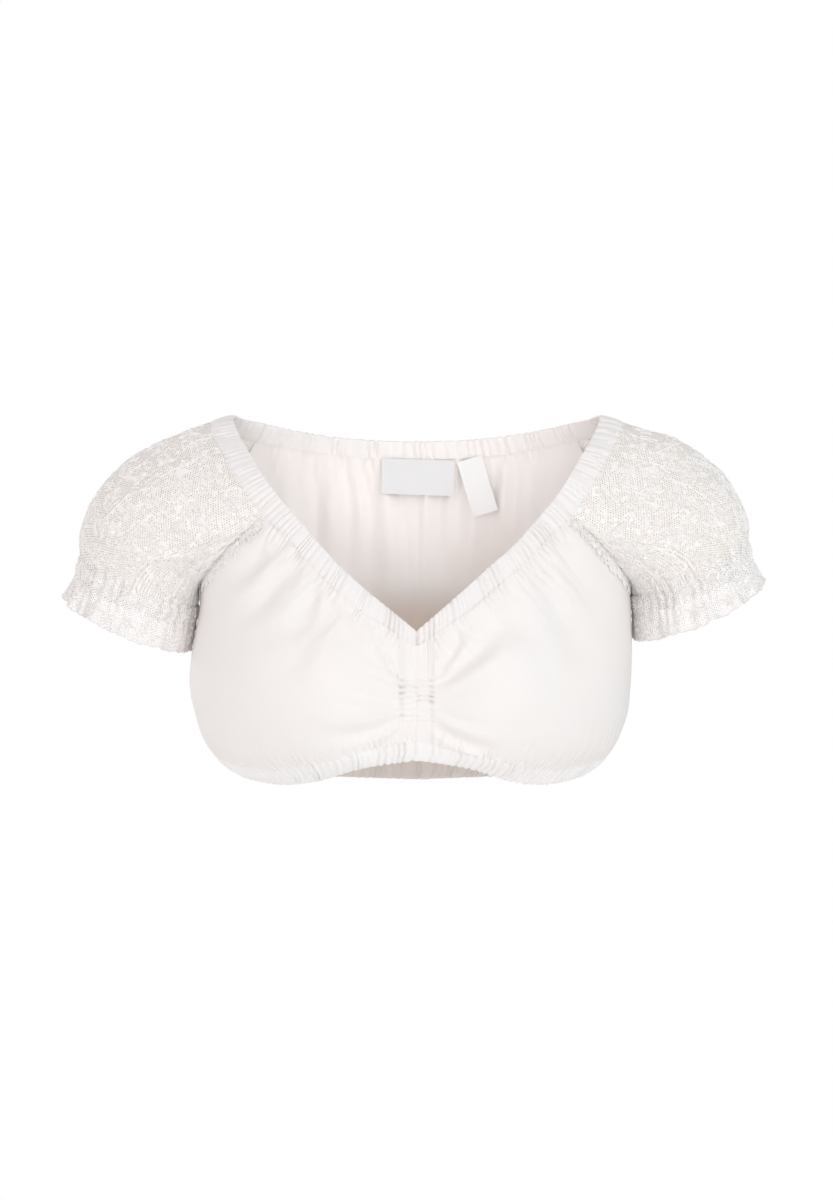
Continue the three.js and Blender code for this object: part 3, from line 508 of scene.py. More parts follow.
# Each ring of points is filled with a low dome, as satin stitch fills it
def padParts(rings, normals, rise):
    parts = []
    for ring, normal in zip(rings, normals):
        n = len(ring)
        middle, up = ring.mean(0), unit(normal.mean(0))
        points = np.vstack([ring, middle + up * rise, middle - up * 0.1 * rise])
        i = np.arange(n)
        k = (i + 1) % n
        top = np.stack([i, k, np.full(n, n)], -1)
        under = np.stack([k, i, np.full(n, n + 1)], -1)
        axis = unit(ring[0] - middle)
        other = np.cross(up, axis)
        flat = np.stack([(points - middle) @ axis, (points - middle) @ other], -1)
        faces = np.concatenate([top, under])
        parts.append((points, np.zeros((0, 4), int), np.zeros((0, 4, 2)), faces, flat[faces]))
    return parts


def makeThreads(name, parts, material):
    points, quads, quadMaps, caps, capMaps = zip(*parts)
    offsets = np.concatenate([[0], np.cumsum([len(p) for p in points])[:-1]])
    faces = [np.concatenate([f + offset for f, offset in zip(kind, offsets)]) for kind in (quads, caps)]
    corners = np.concatenate([np.concatenate(maps).reshape(-1, 2) for maps in (quadMaps, capMaps)])
    faces = [group for group in faces if len(group)]
    return makeObject(name, np.concatenate(points), faces, corners, material, creaseAngle=80)


# Shader node groups

class NodeTree:
    def __init__(self, tree):
        self.tree = tree

    def add(self, kind, **settings):
        node = self.tree.nodes.new(kind)
        for key, value in settings.items():
            setattr(node, key, value)
        return node

    # Gives a socket a fixed value, or another node's output
    def feed(self, value, socket):
        if isinstance(value, (int, float, tuple)):
            socket.default_value = value
        else:
            self.tree.links.new(value, socket)

    def math(self, operation, *values, clamp=False):
        node = self.add("ShaderNodeMath", operation=operation, use_clamp=clamp)
        for value, socket in zip(values, node.inputs):
            self.feed(value, socket)
        return node.outputs[0]

    def between(self, value, low, high, toLow=0.0, toHigh=1.0):
        node = self.add("ShaderNodeMapRange", interpolation_type="SMOOTHSTEP")
        for name, given in (("Value", value), ("From Min", low), ("From Max", high), ("To Min", toLow),
                            ("To Max", toHigh)):
            self.feed(given, node.inputs[name])
        return node.outputs["Result"]

    def clothMap(self):
        return self.add("ShaderNodeUVMap", uv_map="clothMap").outputs[0]

    def split(self, vector):
        node = self.add("ShaderNodeSeparateXYZ")
        self.feed(vector, node.inputs[0])
        return node.outputs

    def noise(self, place, scale, detail=2, distortion=0):
        node = self.add("ShaderNodeTexNoise")
        for name, given in (("Vector", place), ("Scale", scale), ("Detail", detail), ("Distortion", distortion)):
            self.feed(given, node.inputs[name])
        return node.outputs["Fac"]


def newGroup(name, inputs, outputs):
    group = bpy.data.node_groups.new(name, "ShaderNodeTree")
    for label, value in inputs.items():
        group.interface.new_socket(label, in_out="INPUT", socket_type="NodeSocketFloat").default_value = value
    for label in outputs:
        group.interface.new_socket(label, in_out="OUTPUT", socket_type="NodeSocketFloat")
    nodes = NodeTree(group)
    return nodes, nodes.add("NodeGroupInput").outputs, nodes.add("NodeGroupOutput").inputs


# Plain weave: crossing threads as height, with slubs and thin places as shade
def wovenThreadsGroup():
    nodes, given, put = newGroup("wovenThreads", {"Threads Per Metre": 1600.0, "Slub": 0.5}, ["Height", "Shade"])
    spread = nodes.clothMap()
    ways = [nodes.math("MULTIPLY", way, given["Threads Per Metre"]) for way in nodes.split(spread)[:2]]
    waves = [nodes.math("SINE", nodes.math("MULTIPLY", way, 2 * math.pi)) for way in ways]
    threads = nodes.math("MULTIPLY", *waves)
    stretched = nodes.add("ShaderNodeMapping")
    nodes.feed((40, 900, 1), stretched.inputs["Scale"])
    nodes.feed(spread, stretched.inputs["Vector"])
    slub = nodes.math("MULTIPLY", nodes.noise(stretched.outputs[0], 1, 3), given["Slub"])
    nodes.feed(nodes.math("ADD", nodes.math("MULTIPLY", threads, 0.5), slub), put["Height"])
    nodes.feed(nodes.math("MULTIPLY_ADD", threads, 0.12, slub), put["Shade"])
    return nodes.tree


# Soft uneven tone, as thin cloth has where it is doubled, creased or lit through
def softToneGroup():
    nodes, given, put = newGroup("softTone", {"Patches Per Metre": 14.0, "Crumple Per Metre": 70.0},
                                 ["Tone", "Crumple"])
    place = nodes.add("ShaderNodeTexCoord").outputs["Object"]
    for scale, detail, output in (("Patches Per Metre", 2, "Tone"), ("Crumple Per Metre", 4, "Crumple")):
        noise = nodes.noise(place, given[scale], detail, 0.6)
        nodes.feed(nodes.between(noise, 0.3, 0.7), put[output])
    return nodes.tree


# Six-sided net: 1 on its threads and 0 in its holes, with the threads' height
def netMeshGroup():
    nodes, given, put = newGroup("netMesh", {"Holes Per Metre": 600.0, "Thread Share": 0.5}, ["Thread", "Height"])
    turn = nodes.math("MULTIPLY", given["Holes Per Metre"], 2 * math.pi)
    u, v = (nodes.math("MULTIPLY", way, turn) for way in nodes.split(nodes.clothMap())[:2])
    ways = []
    for angle in (0, 60, 120):
        a = math.radians(angle)
        way = nodes.math("MULTIPLY_ADD", v, math.sin(a), nodes.math("MULTIPLY", u, math.cos(a)))
        ways.append(nodes.math("COSINE", way))
    total = nodes.math("ADD", nodes.math("ADD", ways[0], ways[1]), ways[2])
    level = nodes.math("MULTIPLY_ADD", given["Thread Share"], 3.0, -1.5)
    thread = nodes.math("SUBTRACT", level, total)
    nodes.feed(nodes.math("MULTIPLY_ADD", thread, 2.0, 0.5, clamp=True), put["Thread"])
    nodes.feed(nodes.math("MULTIPLY", thread, 1.0, clamp=True), put["Height"])
    return nodes.tree


# Fine curling lines of thread that fill the net between the raised motifs
def scrollThreadGroup():
    nodes, given, put = newGroup("scrollThread", {"Scrolls Per Metre": 170.0, "Lines": 42.0, "Line Share": 0.4},
                                 ["Thread", "Height"])
    noise = nodes.noise(nodes.clothMap(), given["Scrolls Per Metre"], 1, 1.1)
    wave = nodes.math("SINE", nodes.math("MULTIPLY", noise, given["Lines"]))
    level = nodes.math("MULTIPLY_ADD", given["Line Share"], -2.0, 1.0)
    line = nodes.math("SUBTRACT", wave, level)
    nodes.feed(nodes.math("MULTIPLY_ADD", line, 2.2, 0.4, clamp=True), put["Thread"])
    nodes.feed(nodes.math("MULTIPLY", line, 1.5, clamp=True), put["Height"])
    return nodes.tree


# Twisted thread, seen as fine slanting ribs, with painted shade: its colour is a little darker where the ribs are
# low
def twistedThreadGroup():
    nodes, given, put = newGroup("twistedThread", {"Twists Per Metre": 1400.0}, ["Height", "Shade"])
    u, v = nodes.split(nodes.clothMap())[:2]
    slant = nodes.math("ADD", u, nodes.math("MULTIPLY", v, 0.7))
    turns = nodes.math("MULTIPLY", nodes.math("MULTIPLY", slant, given["Twists Per Metre"]), 2 * math.pi)
    rib = nodes.math("SINE", turns)
    nodes.feed(nodes.math("MULTIPLY_ADD", rib, 0.5, 0.5), put["Height"])
    nodes.feed(nodes.math("MULTIPLY_ADD", rib, 0.06, 0.5), put["Shade"])
    return nodes.tree


# Painted shade: a warm darkening painted into the colour low down inside the hollow, on the cloth that faces the
# wearer's back
def hollowShadeGroup():
    nodes, given, put = newGroup("hollowShade", {"Start Height": -0.1, "Full Height": -0.15}, ["Shade"])
    height = nodes.split(nodes.add("ShaderNodeTexCoord").outputs["Object"])[2]
    facing = nodes.split(nodes.add("ShaderNodeNewGeometry").outputs["True Normal"])[1]
    below = nodes.math("SUBTRACT", given["Start Height"], height)
    depth = nodes.math("DIVIDE", below, nodes.math("SUBTRACT", given["Start Height"], given["Full Height"]))
    inside = nodes.between(facing, -0.4, -0.1, 1.0, 0.0)
    nodes.feed(nodes.math("MULTIPLY", nodes.between(depth, 0.0, 1.0), inside), put["Shade"])
    return nodes.tree


groups = {
    "weave": wovenThreadsGroup(),
    "hollow": hollowShadeGroup(),
    "tone": softToneGroup(),
    "net": netMeshGroup(),
    "scroll": scrollThreadGroup(),
    "twist": twistedThreadGroup(),
}


def useGroup(nodes, name, **values):
    node = nodes.add("ShaderNodeGroup", node_tree=groups[name])
    for key, value in values.items():
        node.inputs[key.replace("_", " ")].default_value = value
    return node.outputs


def startMaterial(name, look):
    material = bpy.data.materials.new(name)
    material.use_nodes = True
    shader = material.node_tree.nodes["Principled BSDF"]
    for socket, value in (("Roughness", "roughness"), ("Sheen Weight", "sheen"), ("Specular IOR Level", "gloss")):
        shader.inputs[socket].default_value = look[value]
    shader.inputs["Sheen Roughness"].default_value = 0.5
    return material, NodeTree(material.node_tree), shader


def blendColours(nodes, mask, first, second, blend="MIX"):
    mix = nodes.add("ShaderNodeMix", data_type="RGBA", blend_type=blend)
    nodes.feed(mask, mix.inputs[0])
    for socket, colour in ((mix.inputs[6], first), (mix.inputs[7], second)):
        nodes.feed((*colour, 1) if isinstance(colour, tuple) else colour, socket)
    return mix.outputs[2]


def addBump(nodes, shader, height, look):
    bump = nodes.add("ShaderNodeBump")
    for socket, value in (("Strength", look["bump"]), ("Distance", look["bumpDepth"]), ("Height", height)):
        nodes.feed(value, bump.inputs[socket])
    nodes.feed(bump.outputs["Normal"], shader.inputs["Normal"])


# Thin white cotton. The casings are several layers of the same cloth, so their looks are whiter, though the neck
# casings' look is painted darker again as painted shade.
def cottonMaterial(name, look):
    material, nodes, shader = startMaterial(name, look)
    weave = useGroup(nodes, "weave", Threads_Per_Metre=look["threads"], Slub=look["slub"])
    tone = useGroup(nodes, "tone", Patches_Per_Metre=look["patches"], Crumple_Per_Metre=look["crumples"])
    body = blendColours(nodes, tone["Tone"], look["cool"], look["warm"])
    threads = nodes.math("MULTIPLY", weave["Shade"], look["weaveShade"], clamp=True)
    body = blendColours(nodes, threads, body, look["thread"])
    # Painted shade: low down on the inside the colour is multiplied by a warm dark tint, for the shade in the
    # hollow
    if "hollow" in look:
        hollow = look["hollow"]
        shade = useGroup(nodes, "hollow", Start_Height=hollow["start"], Full_Height=hollow["full"])
        body = blendColours(nodes, shade["Shade"], body, hollow["tint"], blend="MULTIPLY")
    nodes.feed(body, shader.inputs["Base Color"])
    roughness = nodes.math("MULTIPLY_ADD", weave["Shade"], 0.12, look["roughness"] - 0.06)
    nodes.feed(roughness, shader.inputs["Roughness"])
    height = nodes.math("MULTIPLY_ADD", tone["Crumple"], look["crumpleRise"], weave["Height"])
    addBump(nodes, shader, height, look)
    return material


cottonLook = {
    "cool": (0.93, 0.887, 0.868), "warm": (0.938, 0.879, 0.855), "thread": (0.88, 0.835, 0.81),
    "weaveShade": 0.25, "threads": 1500, "slub": 0.6, "patches": 13, "crumples": 95, "crumpleRise": 1.2,
    "roughness": 0.82, "sheen": 0.15, "gloss": 0.2, "bump": 0.5, "bumpDepth": 0.00012,
}
bandLook = {
    **cottonLook,
    "cool": (0.945, 0.918, 0.907), "warm": (0.95, 0.91, 0.892), "thread": (0.89, 0.855, 0.84),
    "weaveShade": 0.2, "patches": 22, "crumples": 160, "bump": 0.55,
}
# The neck casings are the same cloth as the hem's, painted darker and a little pinker: painted shade for the
# shade along their curve
neckBandPaintedShadeLook = {**bandLook, "cool": (0.925, 0.889, 0.878), "warm": (0.93, 0.883, 0.866)}
# The back and its hem casing are the same cloth as the front and the hem, with painted shade low down on their
# inside
backPaintedShadeLook = {**cottonLook, "hollow": {"start": -0.112, "full": -0.146, "tint": (0.825, 0.75, 0.69)}}
backHemPaintedShadeLook = {**bandLook, "hollow": {"start": -0.112, "full": -0.146, "tint": (0.88, 0.83, 0.79)}}


# Net with its fine scrolls. Its holes let a little through, and it is fuller where it is crumpled.
def netMaterial(name, look):
    material, nodes, shader = startMaterial(name, look)
    net = useGroup(nodes, "net", Holes_Per_Metre=look["holes"], Thread_Share=look["threadShare"])
    tone = useGroup(nodes, "tone", Patches_Per_Metre=look["patches"], Crumple_Per_Metre=look["crumples"])
    scroll = useGroup(nodes, "scroll", Scrolls_Per_Metre=look["scrolls"], Line_Share=look["lineShare"])
    ground = blendColours(nodes, tone["Tone"], look["cool"], look["warm"])
    nodes.feed(blendColours(nodes, scroll["Thread"], ground, look["thread"]), shader.inputs["Base Color"])
    filled = nodes.math("MULTIPLY_ADD", tone["Crumple"], look["filling"], net["Thread"], clamp=True)
    nodes.feed(nodes.math("ADD", filled, scroll["Thread"], clamp=True), shader.inputs["Alpha"])
    nodes.feed(nodes.math("MULTIPLY_ADD", net["Height"], -0.1, look["roughness"]), shader.inputs["Roughness"])
    height = nodes.math("MULTIPLY_ADD", scroll["Height"], 1.6, nodes.math("MULTIPLY", net["Height"], 0.6))
    addBump(nodes, shader, height, look)
    return material


netLook = {
    "cool": (0.972, 0.914, 0.89), "warm": (0.968, 0.902, 0.842), "holes": 620, "threadShare": 0.8, "filling": 0.4,
    "thread": (0.98, 0.942, 0.922), "scrolls": 60, "lineShare": 0.13,
    "patches": 55, "crumples": 260, "roughness": 0.8, "sheen": 0.1, "gloss": 0.25,
    "bump": 0.6, "bumpDepth": 0.0003,
}
gatheredNetLook = {
    **netLook,
    "cool": (0.965, 0.932, 0.92), "warm": (0.965, 0.922, 0.904), "threadShare": 0.88,
}


def threadMaterial(name, look):
    material, nodes, shader = startMaterial(name, look)
    twist = useGroup(nodes, "twist", Twists_Per_Metre=look["twists"])
    # Painted shade: the colour leans a little towards the dark one in the twist's low parts
    nodes.feed(blendColours(nodes, twist["Shade"], look["dark"], look["light"]), shader.inputs["Base Color"])
    roughness = nodes.math("MULTIPLY_ADD", twist["Height"], 0.15, look["roughness"] - 0.08)
    nodes.feed(roughness, shader.inputs["Roughness"])
    addBump(nodes, shader, twist["Height"], look)
    return material


embroideryLook = {
    "dark": (0.95, 0.912, 0.892), "light": (0.99, 0.96, 0.942), "twists": 1100,
    "roughness": 0.6, "sheen": 0.2, "gloss": 0.35, "bump": 0.6, "bumpDepth": 0.0002,
}
stitchLook = {
    "dark": (0.80, 0.785, 0.775), "light": (0.95, 0.94, 0.93), "twists": 1500,
    "roughness": 0.55, "sheen": 0.1, "gloss": 0.35, "bump": 0.6, "bumpDepth": 0.0002,
}
satinLook = {
    **cottonLook,
    "cool": (0.885, 0.88, 0.88), "warm": (0.89, 0.88, 0.875), "thread": (0.82, 0.81, 0.805),
    "weaveShade": 0.3, "threads": 2600, "slub": 0.3, "crumpleRise": 0.5,
    "roughness": 0.55, "sheen": 0.05, "gloss": 0.25, "bump": 0.3,
}
brandLook = {**satinLook, "cool": (0.775, 0.77, 0.775), "warm": (0.785, 0.772, 0.77), "thread": (0.71, 0.7, 0.7)}

cotton = cottonMaterial("cottonVoile", cottonLook)
# This material carries painted shade low down on its inside
backCottonPaintedShade = cottonMaterial("cottonVoileBackPaintedShade", backPaintedShadeLook)
bandCotton = cottonMaterial("gatheredCottonBand", bandLook)
neckBandCottonPaintedShade = cottonMaterial("gatheredCottonNeckBandPaintedShade", neckBandPaintedShadeLook)
# This material carries painted shade low down on its inside
backHemCottonPaintedShade = cottonMaterial("gatheredCottonBackHemPaintedShade", backHemPaintedShadeLook)
laceNet = netMaterial("laceNet", netLook)
gatheredLace = netMaterial("gatheredLaceNet", gatheredNetLook)
laceThread = threadMaterial("laceEmbroideryThread", embroideryLook)
seamThread = threadMaterial("sewingThread", stitchLook)
labelCloths = {
    "brandLabel": cottonMaterial("labelSatin", brandLook),
    "sizeLabel": cottonMaterial("labelTape", satinLook),
}
print("materials made")

# Fronts and back

steps = 8  # of the visible cloth in each step of the solids
seams = {side: layOutSeams(side, steps) for side in (-1, 1)}
shoulders = {side: shoulderLines(side, seams[side]) for side in (-1, 1)}

neckGather = {"pitch": 4.4, "height": 2.0, "reach": 15}
backNeckGather = {"pitch": 6.4, "height": 2.0, "reach": 22}
hemGather = {"pitch": 4.4, "height": 1.8, "reach": 8}
backHemGather = {"pitch": 4.4, "height": 1.8, "reach": 11}
panelForm = {"thickness": 0.55, "rows": 78, "backRows": 62, "tuck": 0.9, "raglanTuck": 0.2, "gathersFrom": 14,
             "undulation": 0.7, "undulationFrom": 18, "backFolding": 1.25}
# Each fold has its side, where it starts (x, z), where it ends (x, z), its height and its spread
frontFolds = [
    (-1, 84, -84, 120, -112, -1.7, 5.2), (-1, 79, -98, 116, -146, -2.1, 5.6), (-1, 68, -124, 92, -160, -2.3, 4.6),
    (-1, 90, -110, 128, -146, -1.8, 5.0), (-1, 66, -140, 96, -190, -1.5, 6.0),
    (-1, 45, -137, 40, -158, -1.5, 2.6), (-1, 30, -146, 24, -160, -1.4, 2.2),
    (-1, 104, -98, 132, -122, -1.6, 5.0), (-1, 56, -132, 66, -152, -1.2, 3.0),
    (-1, 11, -184, 24, -160, -2.0, 2.0), (-1, 13, -211, 66, -222, -1.9, 3.4), (-1, 14, -199, 62, -186, -1.4, 3.4),
    (1, 12, -183, 31, -144, -2.6, 2.8), (1, 14, -187, 56, -151, -2.6, 3.8), (1, 20, -172, 70, -132, -2.8, 8.0),
    (1, 12, -215, 60, -233, -2.4, 3.2),
    (1, 62, -122, 76, -166, -1.4, 5.0), (1, 80, -104, 106, -152, -1.5, 6.0), (1, 100, -98, 128, -138, -1.4, 5.4),
    (1, 92, -124, 120, -176, -1.1, 6.0),
]
# Each bulge has its place (x, z), its spread across and up, and its height
frontBulges = [(-50, -205, 25, 11, 2.8), (-60, -172, 26, 12, 1.2), (56, -200, 32, 20, 1.4),
                (62, -174, 18, 18, 2.2)]
backFolds = [
    (-1, 26, -34, 30, -190, -2.6, 5.5), (-1, 64, -30, 72, -160, -2.8, 6), (-1, 96, -26, 106, -200, -2.6, 7),
    (-1, 45, -34, 48, -120, -1.8, 3.5), (-1, 82, -28, 90, -130, -2.0, 4),
    (1, 12, -34, 10, -150, -2.2, 5), (1, 46, -34, 52, -200, -2.8, 6), (1, 84, -30, 96, -180, -2.6, 6.5),
    (1, 28, -34, 30, -110, -1.6, 3.5), (1, 66, -30, 72, -120, -1.9, 4),
]


# Shares from one edge of a piece to the other, closer together near both edges
def edgeShares(count):
    t = np.linspace(0, 1, count)
    return 0.62 * t + 0.38 * ease(t)


# Rows of spots from a lower edge to an upper one, inset at each by millimetres
def spotRows(lower, upper, shares, lowInset, highInset):
    length = np.maximum(1, np.linalg.norm(torso(lower) - torso(upper), axis=-1))
    low, high = (lowInset / length)[None, :, None], (highInset / length)[None, :, None]
    share = low + (1 - low - high) * shares[:, None, None]
    return lower[None] + (upper - lower)[None] * share


def finishPiece(piece, node, flat):
    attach(piece, "root")
    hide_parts(node)


def addTrim(piece):
    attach(piece, "root")


def panelWall(name, spots, heights, cloth):
    points, normals = torso(spots), torsoNormals(spots)
    outer = points + normals * heights[..., None]
    inner = outer - normals * panelForm["thickness"]
    return makeWall(name, outer, inner, cloth)


def frontPiece(side):
    s = seams[side]
    n = s["counts"]
    upper = np.concatenate([s["neckFoot"][n["ruche"]:], s["raglanFront"][1:]])
    lower = hemTopSpots(s["hemFront"][n["ruche"]:])
    tuck = panelForm["tuck"]
    onNeck = np.linspace(0, 1, len(upper)) * (n["neckFront"] + n["raglanFront"])
    topInset = np.where(onNeck < n["neckFront"], -tuck, -panelForm["raglanTuck"])
    spots = spotRows(lower, upper, edgeShares(panelForm["rows"]), -tuck, topInset)
    points = torso(spots)
    seed = 20 + side
    neckUp = drawnUp(points, torso(s["neckFoot"]), neckGather, seed)
    hemUp = drawnUp(points, torso(lower), hemGather, seed + 30)
    _, fromRaglan = nearestOnLine(points, torso(s["raglanFront"]))
    x, z = points[..., 0], points[..., 2]
    bulges = sum(rise * bell(x - bx, sx) * bell(z - bz, sz) for bx, bz, sx, sz, rise in frontBulges)
    undulation = unevenField(x, z, 19, seed) * smooth(0, panelForm["undulationFrom"], fromRaglan)
    heights = (neckUp * smooth(0, panelForm["gathersFrom"], fromRaglan) + hemUp + rucheCreases(x, z, 60 + side)
               + foldHeight(frontFolds, x, z) + bulges + panelForm["undulation"] * undulation)
    piece = panelWall("front" + sideNames[side], spots, heights, cotton)
    finishPiece(piece, "front_" + nodeSides[side], (0.30, 0.17))


def backPiece():
    right, left = seams[-1], seams[1]
    half = lambda s: np.concatenate([s["raglanBack"][::-1], s["backFoot"][1:]])
    upper = joinHalves(half(right), half(left))
    lower = joinHalves(hemTopSpots(right["hemBack"]), hemTopSpots(left["hemBack"]))
    tuck = panelForm["tuck"]
    raglan = right["counts"]["raglanBack"]
    place = np.arange(len(upper))
    onNeck = (place > raglan) & (place < len(upper) - 1 - raglan)
    topInset = np.where(onNeck, -tuck, -panelForm["raglanTuck"])
    spots = spotRows(lower, upper, edgeShares(panelForm["backRows"]), -tuck, topInset)
    points = torso(spots)
    neckUp = drawnUp(points, torso(upper[raglan:-raglan]), backNeckGather, 5)
    hemUp = drawnUp(points, torso(lower), backHemGather, 6)
    _, fromRight = nearestOnLine(points, torso(right["raglanBack"]))
    _, fromLeft = nearestOnLine(points, torso(left["raglanBack"]))
    fromRaglan = np.minimum(fromRight, fromLeft)
    x, z = points[..., 0], points[..., 2]
    undulation = unevenField(x, z, 22, 8) * smooth(0, panelForm["undulationFrom"], fromRaglan)
    folds = panelForm["backFolding"] * foldHeight(backFolds, x, z)
    heights = (neckUp * smooth(0, panelForm["gathersFrom"], fromRaglan) + hemUp + folds
               + panelForm["undulation"] * undulation)
    piece = panelWall("backPanel", spots, heights, backCottonPaintedShade)
    finishPiece(piece, "back", (0.48, 0.24))


# Casings: a flattened tube round elastic, drawn up into ridges across its width

casingForm = {"rows": 13, "lift": 0.22, "wall": 2.0, "least": 0.5, "bulge": 0.4, "edgeRound": 0.35, "lean": 0.25,
              "edgeRidge": 0.72, "middleRidge": 0.28, "innerRidge": 0.8, "scallop": 0.35,
              "stitchDip": 0.36, "stitchSpread": 0.04}
casings = {
    "neckFront": {"pitch": 4.4, "height": 2.3, "stitchAt": 0.09, "flat": (0.21, 0.015), "cloth": neckBandCottonPaintedShade},
    "neckBack": {"pitch": 6.4, "height": 3.3, "stitchAt": 0.09, "flat": (0.34, 0.014), "cloth": neckBandCottonPaintedShade},
    "shoulder": {"pitch": 4.4, "height": 1.9, "stitchAt": 0.09, "flat": (0.22, 0.018), "cloth": neckBandCottonPaintedShade},
    "hemFront": {"pitch": 4.4, "height": 2.2, "stitchAt": 0.91, "flat": (0.56, 0.016), "cloth": bandCotton},
    "hemBack": {"pitch": 4.4, "height": 2.2, "stitchAt": 0.91, "flat": (0.46, 0.016), "cloth": backHemCottonPaintedShade},
    "cuff": {"pitch": 6.6, "height": 2.7, "stitchAt": 0.09, "flat": (0.40, 0.0145), "cloth": gatheredLace},
}
stitchRuns = []


def casingHeights(casing, shares, along, seed, loop):
    form = casingForm
    swell = 1 - np.abs(2 * shares - 1) ** 3
    lean = form["lean"] * casing["pitch"] * unevenLine(shares * 20, 9, seed)
    wave = gatherWave(along[None, :] + lean[:, None], casing["pitch"], seed, loop)
    ridge = casing["height"] * wave * (form["edgeRidge"] + form["middleRidge"] * swell[:, None])
    dip = form["stitchDip"] * bell(shares - casing["stitchAt"], form["stitchSpread"])
    rounding = form["bulge"] * swell - form["edgeRound"] * (1 - swell)
    outer = (form["lift"] + rounding - dip)[:, None] + ridge
    inner = (form["lift"] - form["wall"] - rounding)[:, None] - form["innerRidge"] * ridge
    return outer, np.minimum(inner, outer - form["least"])


# The free edge, the one away from the stitching, follows the ridges in small scallops
def casingPiece(name, node, casing, points, normals, seed, closed=False):
    shares, line = np.linspace(0, 1, len(points)), points[0]
    along = lineLengths(line)
    loop = along[-1] + np.linalg.norm(line[0] - line[-1]) if closed else None
    outer, inner = casingHeights(casing, shares, along, seed, loop)
    across = unit(points[-1] - points[0])[None]
    scallop = casingForm["scallop"] * gatherWave(along, casing["pitch"], seed, loop)[None, :, None]
    atTop, atFoot = np.maximum(0, shares - 0.8) / 0.2, np.maximum(0, 0.2 - shares) / 0.2
    freeEdge = (atTop if casing["stitchAt"] < 0.5 else -atFoot)[:, None, None]
    spread = points + across * scallop * freeEdge
    face = spread + normals * outer[..., None]
    piece = makeWall(name, face, spread + normals * inner[..., None], casing["cloth"], closed)
    finishPiece(piece, node, casing["flat"])
    if not closed:
        row = round(casing["stitchAt"] * (len(points) - 1))
        stitchRuns.append((face[row], normals[row]))
    return face


def casingOnBody(name, node, casing, foot, edge, seed):
    spots = spotRows(foot, edge, np.linspace(0, 1, casingForm["rows"]), 0.0, 0.0)
    casingPiece(name, node, casing, torso(spots), torsoNormals(spots), seed)


def gridNormals(grid, closed):
    if closed:
        across = np.roll(grid, -1, 1) - np.roll(grid, 1, 1)
    else:
        across = np.gradient(grid, axis=1)
    return unit(np.cross(across, np.gradient(grid, axis=0)))


def shoulderCasing(side):
    edge, foot = shoulders[side]
    shares = np.linspace(0, 1, casingForm["rows"])[:, None, None]
    points = foot[None] + (edge - foot)[None] * shares
    normals = gridNormals(points, False)
    normals = np.where(normals[..., 2:] < 0, -normals, normals)
    casingPiece("neckCasingShoulder" + sideNames[side], "neck_casing_shoulder_" + nodeSides[side],
                casings["shoulder"], points, normals, side + 9)


rightSeams, leftSeams = seams[-1], seams[1]
for side in (-1, 1):
    frontPiece(side)
    casingOnBody("neckCasingFront" + sideNames[side], "neck_casing_front_" + nodeSides[side],
                 casings["neckFront"], seams[side]["neckFoot"], seams[side]["neckEdge"], 20 + side)
backPiece()
print("fronts and back made")
casingOnBody("neckCasingBack", "neck_casing_back", casings["neckBack"],
             joinHalves(rightSeams["backFoot"], leftSeams["backFoot"]),
             joinHalves(rightSeams["backEdge"], leftSeams["backEdge"]), 5)
for side in (-1, 1):
    shoulderCasing(side)
hemAngles = {
    "Front": np.concatenate([rightSeams["hemFront"][1:][::-1], leftSeams["hemFront"]]),
    "Back": np.concatenate([rightSeams["hemBack"], leftSeams["hemBack"][:-1][::-1] - 2 * math.pi]),
}
for seed, (place, angles) in enumerate(hemAngles.items(), 2):
    casingOnBody("hemCasing" + place, "hem_casing_" + place.lower(), casings["hem" + place], hemSpots(angles),
                 hemTopSpots(angles), seed)

# The centre strip, drawn up by two rows of stitches and held by the seam down its middle
rucheForm = {"rows": 140, "row": 9.6, "tuck": 0.8, "top": -183, "bottom": -214, "wander": 0.7, "pucker": 1.5,
             "seamPucker": 1.1, "groove": 0.35, "topPitch": 3.4, "topHeight": 1.2, "hemShare": 0.6}


def centreRuche():
    form, n = rucheForm, rightSeams["counts"]["ruche"]
    right, left = rightSeams["neckFoot"], leftSeams["neckFoot"]
    middle = min(right[0], left[0], key=lambda spot: spot[1])
    upper = np.concatenate([right[1:n + 1][::-1], [middle], left[1:n + 1]])
    lower = hemTopSpots(np.concatenate([rightSeams["hemFront"][1:n + 1][::-1], leftSeams["hemFront"][:n + 1]]))
    spots = spotRows(lower, upper, np.linspace(0, 1, form["rows"]), -form["tuck"], -form["tuck"])
    points, normals = torso(spots), torsoNormals(spots)
    x, z = points[..., 0], points[..., 2]
    fromRow = np.abs(x) - form["row"]
    drawn = smooth(form["bottom"] - 5, form["bottom"] + 4, z) * (1 - smooth(form["top"] - 3, form["top"] + 6, z))
    share = smooth(-1.6, 1.6, x)
    at = z + form["wander"] * unevenField(x, z, 6, 3)
    level = rucheCreases(x, at, 59) * (1 - share) + rucheCreases(x, at, 61) * share
    crease = np.clip(-level / (0.45 * rucheFan["height"]), 0, 1) ** 1.4
    puckers = (form["pucker"] * bell(fromRow, 1.4) + form["seamPucker"] * bell(x - 0.3, 1.1)) * crease
    grooves = form["groove"] * (bell(fromRow, 0.6) + bell(x, 0.5))
    topWave = gatherWave(x + 0.4 * unevenLine(z, 9, 2), form["topPitch"], 44)
    down = topWave * bell(z - z.max(), 15) * form["topHeight"]
    hemWave = gatherWave(x, hemGather["pitch"], 2) * np.exp((z.min(0) - z) / hemGather["reach"])
    heights = drawn * (level - puckers - grooves) + down + form["hemShare"] * hemGather["height"] * hemWave
    outer = points + normals * heights[..., None]
    piece = makeWall("centreRuche", outer, outer - normals * panelForm["thickness"], cotton)
    finishPiece(piece, "centre_ruche", (0.0255, 0.098))
    rows = []
    for wanted in (-form["row"], form["row"]):
        column = int(np.abs(x[len(x) // 2] - wanted).argmin())
        rows.append((outer[:, column], normals[:, column], drawn[:, column]))
    return rows


rucheRows = centreRuche()
print("casings and ruche made")

# Sleeves

